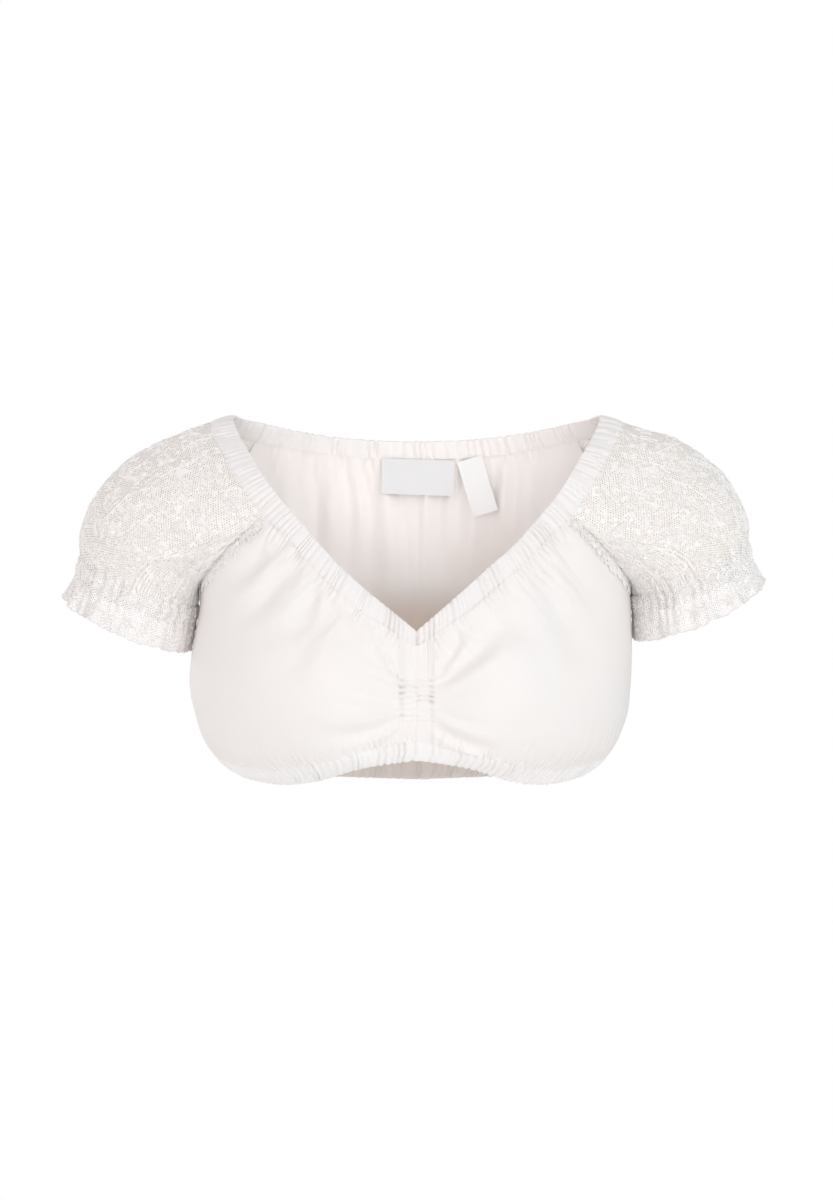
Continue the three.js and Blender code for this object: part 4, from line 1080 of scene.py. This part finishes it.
cuffShape = {"y": -3, "radius": 43, "lean": 15, "frontDrop": 0.2, "bandHeight": 14.5, "clear": 1.2}
cuffHang = {-1: {"x": 194.5, "z": -115.5, "slant": 23}, 1: {"x": 192, "z": -106.5, "slant": 25}}
puffShape = {"pull": 1.1, "headPull": 0.12, "turnIn": 18, "armpitWay": (0.75, 0, -0.66), "seamSwell": (0.7, 0.4),
             "underCasing": 0.9, "atSeam": 0.1}
sleeveCloth = {"rows": 64, "thickness": 0.35, "intoCuff": 0.6, "cuffPitch": 6.6, "cuffHeight": 2.8,
               "cuffReach": 12, "headPitch": 5.0, "headHeight": 1.4, "headReach": 10, "billow": 1.5}
ruffleShape = {"rows": 24, "height": 18.5, "flare": 3.5, "overlap": 0.5, "waves": 12, "wave": 2.8, "gathers": 2.2,
               "flutters": 27, "flutter": 0.8, "scallops": 40, "scallop": 0.45, "edgeWander": 0.5}


# A point or a way given for the wearer's left, on either side
def mirrored(side, out, y, z):
    return np.array([side * out, y, z], float)


def cuffFrame(side):
    hang = cuffHang[side]
    slant, lean = math.radians(hang["slant"]), math.radians(cuffShape["lean"])
    return {
        "centre": mirrored(side, hang["x"], cuffShape["y"], hang["z"]),
        "under": mirrored(side, -math.cos(slant), 0, -math.sin(slant)),
        "forward": unit(np.array([0, -1, -cuffShape["frontDrop"]])),
        "down": mirrored(side, math.sin(lean), 0, -math.cos(lean)),
    }


def cuffPoints(side, turn, distance, radius):
    f = cuffFrame(side)
    given = np.broadcast_arrays(turn, distance, radius)
    turn, distance, radius = (np.asarray(values, float)[..., None] for values in given)
    angle = turn * 2 * math.pi
    return (f["centre"] + f["under"] * radius * np.cos(angle) + f["forward"] * radius * np.sin(angle)
            + f["down"] * distance)


# The cuff is pressed softly against the body under the arm
def againstBody(side, points, turn):
    inner = (side * points[..., 0]).argmin(-1)
    row = np.arange(len(points))
    x, z = side * points[row, inner, 0], points[row, inner, 2]
    width = readTable(bodyTable, "z", z)[nodeSides[side]]
    push = np.maximum(0, x - width - cuffShape["clear"])[:, None]
    pressed = points.copy()
    pressed[..., 0] -= side * push * np.clip(np.cos(2 * math.pi * turn), 0, 1) ** 1.2
    return pressed


# The ring where the sleeve starts, and the way its cloth leaves each point of it
def sleeveTop(side):
    s = seams[side]
    edge, foot = shoulders[side]
    armpitWay = mirrored(side, *puffShape["armpitWay"])
    out, ahead = puffShape["seamSwell"]
    frontSeam, backSeam = torso(s["raglanFront"])[::-1], torso(s["raglanBack"])

    def seamWays(wayAtCasing, t, forward):
        swell = mirrored(side, out, -forward, 0) * np.sin(math.pi * t)[:, None]
        return unit(wayAtCasing + (armpitWay - wayAtCasing) * t[:, None] + swell)

    frontWays = seamWays(unit(foot[0] - edge[0]), np.linspace(1, 0, len(frontSeam)), ahead)
    topWays = unit(foot - edge)
    backWays = seamWays(unit(foot[-1] - edge[-1]), np.linspace(0, 1, len(backSeam)), -ahead)
    points = np.concatenate([frontSeam, foot[1:], backSeam[1:-1]])
    ways = np.concatenate([frontWays, topWays[1:], backWays[1:-1]])
    onShoulder = np.zeros(len(points))
    onShoulder[len(frontSeam):len(frontSeam) + len(foot) - 1] = 1
    along = unit(np.roll(points, -1, 0) - np.roll(points, 1, 0))
    across = unit(ways - along * (ways * along).sum(1, keepdims=True))
    clear = np.where(onShoulder > 0, -puffShape["underCasing"], puffShape["atSeam"])[:, None]
    return points + across * clear, ways, onShoulder


def outwardNormals(grid):
    normals = gridNormals(grid, True)
    middle = grid.mean(1, keepdims=True)
    return np.where((normals * (grid - middle)).sum((1, 2), keepdims=True) < 0, -normals, normals)


def sleeveGrid(side):
    points, ways, onShoulder = sleeveTop(side)
    f = cuffFrame(side)
    turn = np.arange(len(points)) / len(points)
    end = againstBody(side, cuffPoints(side, turn, sleeveCloth["intoCuff"], cuffShape["radius"])[None], turn)[0]
    pull = puffShape["pull"] * np.linalg.norm(points - end, axis=1, keepdims=True)
    inwards = math.radians(puffShape["turnIn"]) * np.minimum(1, 0.15 + 1.5 * np.sin(math.pi * turn) ** 2)[:, None]
    outWay = unit(end - cuffPoints(side, turn, sleeveCloth["intoCuff"], 0.0))
    endWay = f["down"] * np.cos(inwards) - outWay * np.sin(inwards)
    start = ways * pull * (1 + puffShape["headPull"] * np.sin(math.pi * turn) ** 4)[:, None]
    share = np.linspace(0, 1, sleeveCloth["rows"])[:, None, None]
    return hermite(points[None], end[None], start[None], (endWay * pull)[None], share), turn, onShoulder


# A surface that can be read at any share of the way round it and down it
class Surface:
    def __init__(self, points, normals, closed=True):
        self.points, self.normals, self.closed = points, normals, closed
        ring = np.concatenate([points, points[:, :1]], 1)
        self.girths = np.linalg.norm(np.diff(ring, axis=1), axis=2).sum(1)
        self.lengths = np.linalg.norm(np.diff(points, axis=0), axis=2).sum(0)

    def read(self, turn, share):
        rows, count = self.points.shape[:2]
        around = turn % 1 if self.closed else np.clip(turn, 0, 0.999) * (count - 1) / count
        ac, ar = around * count, np.clip(share, 0, 1) * (rows - 1)
        c, r = np.floor(ac).astype(int) % count, np.minimum(np.floor(ar).astype(int), rows - 2)
        fc, fr = (ac - np.floor(ac))[..., None], (ar - r)[..., None]
        d = (c + 1) % count

        def blend(grid):
            return ((grid[r, c] * (1 - fc) + grid[r, d] * fc) * (1 - fr)
                    + (grid[r + 1, c] * (1 - fc) + grid[r + 1, d] * fc) * fr)
        return blend(self.points), unit(blend(self.normals))

    def rowAt(self, share):
        return int(np.clip(share, 0, 1) * (len(self.points) - 1))

    def turnAt(self, around, share):
        line = self.points[self.rowAt(share)]
        lengths = lineLengths(np.vstack([line, line[:1]]) if self.closed else line)
        return float(np.interp(around % 1 * lengths[-1], lengths, np.linspace(0, 1, len(lengths))))

    # The whole girth and length that the cloth near a place would give, were it as wide there all the way
    def scaleAt(self, turn, share):
        rows, count = self.points.shape[:2]
        row, column = self.rowAt(share), int(turn % 1 * count)
        across, down = 6, 4
        columns = np.arange(column - across, column + across + 1)
        columns = columns % count if self.closed else np.clip(columns, 0, count - 1)
        near = np.clip(np.arange(row - down, row + down + 1), 0, rows - 1)
        girth = lineLengths(self.points[row, columns])[-1] / (2 * across) * count
        length = lineLengths(self.points[near, column % count])[-1] / (near[-1] - near[0]) * (rows - 1)
        return max(girth, 0.5 * self.girths[row]), length


def sleevePiece(side):
    grid, turn, onShoulder = sleeveGrid(side)
    normals = outwardNormals(grid)
    toTop = np.linalg.norm(grid - grid[:1], axis=2)
    toCuff = np.linalg.norm(grid - grid[-1:], axis=2)
    loop = 2 * math.pi * cuffShape["radius"]
    cuffWave = gatherWave(turn * loop, sleeveCloth["cuffPitch"], 30 + side, loop)[None, :]
    headLoop = lineLengths(np.vstack([grid[0], grid[0][:1]]))
    headWave = gatherWave(headLoop[:-1], sleeveCloth["headPitch"], 75 + side, headLoop[-1])[None, :]
    reach = sleeveCloth["cuffReach"] * (1 + 0.5 * unevenLine(turn * loop, 15, 80 + side, loop))[None, :]
    blur = np.ones(17) / 17
    smoothShoulder = np.convolve(np.concatenate([onShoulder] * 3), blur, "same")[len(turn):2 * len(turn)]
    sine, cosine = (f(2 * math.pi * turn)[None, :] * 3 for f in (np.sin, np.cos))
    down = np.linspace(0, 4, len(grid))[:, None]
    billow = sum(unevenField(sine + k, down + cosine, 1.0 / k, 90 + side + k) / k for k in (1, 2))
    calm = smooth(0, 22, toTop) * smooth(0, 10, toCuff)
    heights = (sleeveCloth["cuffHeight"] * cuffWave * np.exp(-toCuff / reach) * np.clip(toTop / 20 - 0.2, 0, 1)
               + sleeveCloth["headHeight"] * headWave * np.exp(-toTop / sleeveCloth["headReach"]) * smoothShoulder
               + sleeveCloth["billow"] * billow * calm)
    outer = grid + normals * heights[..., None]
    normals = outwardNormals(outer)
    inner = outer - normals * sleeveCloth["thickness"]
    piece = makeWall("laceSleeve" + sideNames[side], outer, inner, laceNet, closed=True)
    return piece, Surface(outer, normals)


def cuffPiece(side, turn):
    shares = np.linspace(0, 1, casingForm["rows"])[:, None]
    grid = cuffPoints(side, turn[None, :], shares * cuffShape["bandHeight"], cuffShape["radius"])
    grid = againstBody(side, grid, turn)
    normals = outwardNormals(grid)
    face = casingPiece("cuffCasing" + sideNames[side], "cuff_casing_" + nodeSides[side], casings["cuff"], grid,
                       normals, 30 + side, closed=True)
    return Surface(face, normals)


def rufflePiece(side, turn):
    form = ruffleShape
    loop = 2 * math.pi * cuffShape["radius"]
    around = turn * loop
    uneven = lambda spacing, seed: unevenLine(around, spacing, seed + side, loop)
    waves = lambda count, wander: np.cos(2 * math.pi * count * turn + wander)
    share = np.linspace(0, 1, form["rows"])[:, None]
    edge = form["scallop"] * waves(form["scallops"], 2.2 * uneven(30, 56)) + form["edgeWander"] * uneven(9, 58)
    distance = (cuffShape["bandHeight"] - form["overlap"] + (form["height"] + 0.2) * share
                + edge * smooth(0.8, 1, share))
    grid = cuffPoints(side, turn[None, :], distance, cuffShape["radius"] + form["flare"] * share**1.3)
    grid = againstBody(side, grid, turn)
    pressed = np.clip(np.cos(2 * math.pi * turn), 0, 1) ** 2
    big = waves(form["waves"], 0.8 * uneven(40, 50)) * (0.85 + 0.35 * uneven(30, 52))
    fine = gatherWave(around, casings["cuff"]["pitch"], 30 + side, loop)
    flutter = waves(form["flutters"], 2 * uneven(25, 54))
    heights = (form["wave"] * big * share * (1 - 0.8 * pressed) + form["gathers"] * fine * np.exp(-share * 1.5)
               + form["flutter"] * flutter * share**1.5 * (1 - 0.6 * pressed))
    outer = grid + outwardNormals(grid) * heights[..., None]
    normals = outwardNormals(outer)
    inner = outer - normals * sleeveCloth["thickness"]
    piece = makeWall("cuffRuffle" + sideNames[side], outer, inner, gatheredLace, closed=True)
    return piece, Surface(outer, normals)


# Lace embroidery: flowers, leaf sprays and tendrils of corded thread on the net

laceMotifs = {"petals": 5, "flowerSize": 8.2, "petalWidth": 0.62, "petalFrom": 1.6, "centre": 1.5,
              "spraySize": 9.5, "leafLength": 11.0, "leafWidth": 4.4, "tendrilSize": 4.2, "tendrilOut": 11.5,
              "outlinePoints": 9, "jitter": 1.6, "cord": 0.85, "cordRise": 0.62, "padRise": 0.42, "border": 0.004}
laceLayouts = {
    "sleeve": {"spacing": 13.4, "size": 1.0, "from": 0.03, "to": 0.97, "padsTo": 0.84},
    "ruffle": {"spacing": 14, "size": 0.62, "from": 0.1, "to": 0.95, "padsTo": 0},
    "cuff": {"spacing": 14, "size": 0.6, "from": 0.1, "to": 0.9, "padsTo": 0},
    "raglan": {"spacing": 6.2, "size": 0.62, "from": 0.12, "to": 0.88, "padsTo": 1.0},
}
raglanStrip = {"reach": (-2.5, 9.5), "lift": 0.5}
edgeCordForm = {"points": 240, "share": 0.985, "width": 1.1, "rise": 0.6}


def turned(points, angle, at=(0, 0)):
    c, s = math.cos(angle), math.sin(angle)
    return points @ np.array([[c, s], [-s, c]]) + np.array(at)


def leafShape(length, width, count):
    t = np.arange(count) / count
    along = (1 - np.cos(2 * math.pi * t)) / 2
    across = np.sin(2 * math.pi * t) * (0.75 + 0.25 * np.cos(2 * math.pi * t))
    return np.stack([along * length, across * width / 2 * (1 - 0.25 * along)], -1)


def flowerStrokes(scale, rng):
    rings, lines = [], []
    size, start = laceMotifs["flowerSize"] * scale, laceMotifs["petalFrom"]
    count = laceMotifs["petals"] + int(rng.integers(0, 2))
    for k in range(count):
        angle = 2 * math.pi * k / count + rng.uniform(-0.12, 0.12)
        length = size * rng.uniform(0.82, 1.08)
        petal = leafShape(length - start, size * laceMotifs["petalWidth"], laceMotifs["outlinePoints"])
        rings.append(turned(petal + [start, 0], angle))
        vein = np.array([[start + 0.1, 0], [0.45 * length, 0.25], [0.8 * length, 0]])
        lines.append(turned(vein, angle))
    around = np.arange(7) / 7 * 2 * math.pi
    rings.append(np.stack([np.cos(around), np.sin(around)], -1) * laceMotifs["centre"])
    return {"rings": rings, "lines": lines}


def sprayStrokes(scale, rng):
    rings, pads = [], []
    size = laceMotifs["spraySize"] * scale
    bend, last = rng.uniform(-0.5, 0.5), laceMotifs["outlinePoints"] - 1
    t = np.linspace(-1, 1, last + 1)
    stem = np.stack([t * size, bend * size * 0.5 * (1 - t * t)], -1)
    for k, tone in ((1, 1), (3, -1), (4, 1), (6, -1), (8, 0)):
        way = stem[min(k + 1, last)] - stem[max(k - 1, 0)]
        angle = math.atan2(way[1], way[0]) + tone * rng.uniform(0.6, 0.95)
        length = laceMotifs["leafLength"] * rng.uniform(0.55, 0.8)
        leaf = leafShape(length, laceMotifs["leafWidth"], laceMotifs["outlinePoints"])
        if k % 3:
            pads.append(turned(leaf * [0.85, 0.8] + [0.6, 0], angle, stem[k]))
        else:
            rings.append(turned(leaf, angle, stem[k]))
    return {"rings": rings, "pads": pads, "lines": [stem]}


def tendrilStroke(scale, rng):
    t = np.linspace(0, 1, 12)
    angle = 4.6 * t * rng.choice([-1, 1]) + rng.uniform(0, 6)
    radius = laceMotifs["tendrilSize"] * scale * (1 - 0.75 * t)
    beside = turned(np.array([[laceMotifs["tendrilOut"], 0]]), rng.uniform(0, 6)) * scale
    return np.stack([radius * np.cos(angle), radius * np.sin(angle)], -1) + beside


# Flowers and sprays by turns in rows over a surface, each stroke as shares of the way round it and down it
def layMotifs(surface, layout, rng):
    strokes = {"rings": [], "pads": [], "lines": []}
    border = laceMotifs["border"]

    def lay(kind, flat, turn, share, girth, length):
        turns = turn + flat[:, 0] / girth
        shares = share + flat[:, 1] / length
        if not surface.closed and (turns.min() < 0 or turns.max() > 1):
            return
        if np.mean((shares < border) | (shares > 1 - border)) > 0.45:
            return
        onGathers = kind == "pads" and shares.max() > layout["padsTo"]
        strokes["rings" if onGathers else kind].append((turns, np.clip(shares, border, 1 - border)))

    covered = layout["to"] - layout["from"]
    rows = max(1, round(float(np.mean(surface.lengths)) * covered / layout["spacing"]))
    for r in range(rows):
        share = layout["from"] + covered * (r + 0.5) / rows
        count = max(3, round(surface.girths[int(share * (len(surface.girths) - 1))] / layout["spacing"]))
        for c in range(count):
            turn = surface.turnAt((c + 0.5 * (r % 2)) / count, share)
            girth, length = surface.scaleAt(turn, share)
            turn += rng.uniform(-1, 1) * laceMotifs["jitter"] / girth
            local = share + rng.uniform(-1, 1) * laceMotifs["jitter"] / length
            way = rng.uniform(0, 2 * math.pi)
            motif = (flowerStrokes if (c + r) % 2 else sprayStrokes)(layout["size"], rng)
            motif["lines"].append(tendrilStroke(layout["size"], rng))
            for kind, group in motif.items():
                for flat in group:
                    lay(kind, turned(flat, way), turn, local, girth, length)
    return strokes


def embroider(name, surface, layout, seed):
    strokes = layMotifs(surface, layout, np.random.default_rng(seed))
    parts = []
    for kind, group in strokes.items():
        pairs = [surface.read(turns, shares) for turns, shares in group]
        lines, normals = [p for p, _ in pairs], [n for _, n in pairs]
        if kind == "pads":
            parts += padParts(lines, normals, laceMotifs["padRise"])
        else:
            parts += cordParts(lines, normals, laceMotifs["cord"], laceMotifs["cordRise"], ring=kind == "rings")
    piece = makeThreads(name, parts, laceThread)
    addTrim(piece)
    print(name, "motif strokes", sum(len(g) for g in strokes.values()), "faces", len(piece.data.polygons))
    return piece


# The lace's edge, sewn down over the front's slanting seam
def raglanLace(side):
    seam = seams[side]["raglanFront"]
    along = unit(np.gradient(torso(seam), axis=0))
    across = np.cross(torsoNormals(seam), along)
    across = np.where(side * across[..., :1] > 0, -across, across)
    spots = np.stack([slide(seam, across, d) for d in np.linspace(*raglanStrip["reach"], 10)])
    points, normals = torso(spots), torsoNormals(spots)
    height = raglanStrip["lift"] + foldHeight(frontFolds, points[..., 0], points[..., 2])
    surface = Surface(points + normals * height[..., None], normals, closed=False)
    embroider("raglanLace" + sideNames[side], surface, laceLayouts["raglan"], 500 + side)


def edgeCord(name, surface):
    form, count = edgeCordForm, edgeCordForm["points"]
    points, normals = surface.read(np.arange(count) / count, np.full(count, form["share"]))
    cord = cordParts([points], [normals], form["width"], form["rise"], ring=True)
    piece = makeThreads(name, cord, laceThread)
    addTrim(piece)
    return piece


for side in (-1, 1):
    name, node = sideNames[side], nodeSides[side]
    sleeve, sleeveSurface = sleevePiece(side)
    flowers = embroider("laceEmbroidery" + name, sleeveSurface, laceLayouts["sleeve"], 200 + side)
    finishPiece(sleeve, "sleeve_" + node, (0.42, 0.13))
    count = sleeveSurface.points.shape[1]
    turn = np.arange(count) / count
    cuffSurface = cuffPiece(side, turn)
    ruffle, ruffleSurface = rufflePiece(side, turn)
    ruffleFlowers = embroider("ruffleEmbroidery" + name, ruffleSurface, laceLayouts["ruffle"], 300 + side)
    cord = edgeCord("ruffleEdge" + name, ruffleSurface)
    finishPiece(ruffle, "cuff_ruffle_" + node, (0.42, 0.019))
    embroider("cuffEmbroidery" + name, cuffSurface, laceLayouts["cuff"], 400 + side)
    raglanLace(side)
print("sleeves made")

# Sewing

stitchForm = {"length": 2.3, "gap": 0.9, "width": 0.42, "rise": 0.3, "sink": 0.1,
              "along": [0, 0.15, 0.5, 0.85, 1], "heights": [-0.35, 0, 0.1, 0, -0.35]}


def stitchesAlong(line, normals):
    lengths = lineLengths(line)
    pitch = stitchForm["length"] + stitchForm["gap"]
    starts = np.arange(stitchForm["gap"], lengths[-1] - stitchForm["length"], pitch)
    read = lambda values, at: np.stack([np.interp(at, lengths, values[:, k]) for k in range(3)], -1)
    heights = np.array(stitchForm["heights"])[:, None] - stitchForm["sink"]
    made, ways = [], []
    for start in starts:
        at = start + np.array(stitchForm["along"]) * stitchForm["length"]
        up = unit(read(normals, at))
        made.append(read(line, at) + up * heights)
        ways.append(up)
    return cordParts(made, ways, stitchForm["width"], stitchForm["rise"])


def sewCasings():
    parts = []
    for line, normals in stitchRuns:
        parts += stitchesAlong(line, normals)
    addTrim(makeThreads("casingStitches", parts, seamThread))
    rows = []
    for line, normals, drawn in rucheRows:
        keep = drawn > 0.5
        rows += stitchesAlong(line[keep], normals[keep])
    addTrim(makeThreads("rucheStitches", rows, seamThread))


sewCasings()
print("sewing made")

# Labels inside the back

labels = {
    "brandLabel": {"node": "label_brand", "x": 1.5, "top": -29, "width": 53, "height": 26, "tilt": -2},
    "sizeLabel": {"node": "label_size", "x": 38.5, "top": -28.5, "width": 19, "height": 42, "tilt": 17},
}
labelHang = {"depths": [2.5, 4.3, 4.9, 5.3], "clear": 0.45, "wave": 0.35, "thickness": 0.4}


# A label's points hang a little away from the back, further towards its lower edge
def labelPlace(label, u, v, depth=0.0):
    tilt = math.radians(label["tilt"])
    x = label["x"] + u * label["width"] * math.cos(tilt) + v * label["height"] * math.sin(tilt)
    z = label["top"] + u * label["width"] * math.sin(tilt) - v * label["height"] * math.cos(tilt)
    spots = np.stack([angleAt(x, z, True), z], -1)
    hang = np.interp(v, [0, 0.34, 0.67, 1], labelHang["depths"]) + labelHang["clear"] + depth
    hang = hang + labelHang["wave"] * np.sin(u * 5 + 1) * v
    return torso(spots) - torsoNormals(spots) * hang[..., None]


def hangLabel(name):
    label = labels[name]
    v, u = np.meshgrid(np.linspace(0, 1, 30), np.linspace(-0.5, 0.5, 36), indexing="ij")
    inner = labelPlace(label, u, v, labelHang["thickness"])
    piece = makeWall(name, labelPlace(label, u, v), inner, labelCloths[name])
    finishPiece(piece, label["node"], (label["width"] / 1000, label["height"] / 1000))


for name in labels:
    hangLabel(name)
print("labels made")

# Studio

camera = {"distance": 2.7, "height": -0.131, "frameWidth": 0.583, "sensor": 36}
studio = {"skyLight": 0.67, "groundLight": 0.58, "backdrop": 1.0,
          "wearersRight": (1.0, 0.978, 0.985), "wearersLeft": (1.0, 1.045, 1.05)}
lamps = {
    "frontLamp": {"at": (-0.1, -2.6, -0.54), "size": 0.5, "power": 9.5, "colour": (0.985, 0.99, 1)},
    "keyLamp": {"at": (1.8, -2.0, 0.8), "size": 1.2, "power": 16.5, "colour": (0.94, 0.985, 1)},
    "sideLamp": {"at": (-2.2, -1.5, 0.2), "size": 1.2, "power": 8, "colour": (1, 0.975, 0.98)},
    "backLamp": {"at": (-1.9, 2.3, 0.9), "size": 0.8, "power": 20, "colour": (1, 0.99, 0.98)},
    "insideGlow": {"at": (0, -0.035, -0.06), "size": 0.2, "height": 0.05, "power": 0.0195, "spread": 105,
                   "colour": (1, 0.985, 0.98), "towards": (0, 0.1, -0.05)},
}
aimPoint = (0, 0, -0.13)
floorForm = {"halfWidth": 2500, "near": -3200, "far": 1300, "z": -800, "grain": 3, "dark": (0.86, 0.86, 0.86),
             "light": (0.9, 0.9, 0.9), "roughness": 0.9, "sheen": 0, "gloss": 0.5}


def placeCamera():
    data = bpy.data.cameras.new("camera")
    data.sensor_fit = "HORIZONTAL"
    data.sensor_width = camera["sensor"]
    data.lens = camera["sensor"] * camera["distance"] / camera["frameWidth"]
    rig = bpy.data.objects.new("camera", data)
    rig.location = (0, -camera["distance"], camera["height"])
    rig.rotation_euler = (math.pi / 2, 0, 0)
    bpy.context.scene.collection.objects.link(rig)
    bpy.context.scene.camera = rig


def hangLamps():
    for name, lamp in lamps.items():
        data = bpy.data.lights.new(name, "AREA")
        data.shape = "RECTANGLE"
        data.size = lamp["size"]
        data.size_y = lamp.get("height", lamp["size"])
        data.energy = lamp["power"]
        data.spread = math.radians(lamp.get("spread", 180))
        data.color = lamp["colour"]
        rig = bpy.data.objects.new(name, data)
        rig.location = lamp["at"]
        aim = Vector(lamp.get("towards", aimPoint)) - Vector(lamp["at"])
        rig.rotation_euler = aim.to_track_quat("-Z", "Y").to_euler()
        rig.visible_camera = False
        bpy.context.scene.collection.objects.link(rig)


def lightRoom():
    world = bpy.data.worlds.new("studioRoom")
    world.use_nodes = True
    nodes = NodeTree(world.node_tree)
    background = world.node_tree.nodes["Background"]
    seen = nodes.add("ShaderNodeLightPath").outputs["Is Camera Ray"]
    across, _, up = nodes.split(nodes.add("ShaderNodeTexCoord").outputs["Generated"])
    tint = blendColours(nodes, nodes.between(across, -0.8, 0.8), studio["wearersRight"], studio["wearersLeft"])
    nodes.feed(blendColours(nodes, seen, tint, (1, 1, 1)), background.inputs["Color"])
    room = nodes.between(up, -0.6, 0.5, studio["groundLight"], studio["skyLight"])
    strength = nodes.add("ShaderNodeMix", data_type="FLOAT")
    for socket, value in ((0, seen), (2, room), (3, studio["backdrop"])):
        nodes.feed(value, strength.inputs[socket])
    nodes.feed(strength.outputs[0], background.inputs["Strength"])
    bpy.context.scene.world = world
    bpy.context.scene.view_settings.view_transform = "Standard"


def layFloor():
    form = floorForm
    material, nodes, shader = startMaterial("paleFloor", form)
    tone = nodes.add("ShaderNodeTexNoise")
    nodes.feed(form["grain"], tone.inputs["Scale"])
    nodes.feed(blendColours(nodes, tone.outputs["Fac"], form["dark"], form["light"]), shader.inputs["Base Color"])
    x, z = form["halfWidth"], form["z"]
    near, far = form["near"], form["far"]
    points = np.array([(-x, near, z), (x, near, z), (x, far, z), (-x, far, z)], float)
    makeObject("studioFloor", points, [np.array([[0, 1, 2, 3]])], None, material)


placeCamera()
hangLamps()
lightRoom()
layFloor()
print("studio set")

bpy.context.view_layer.update()
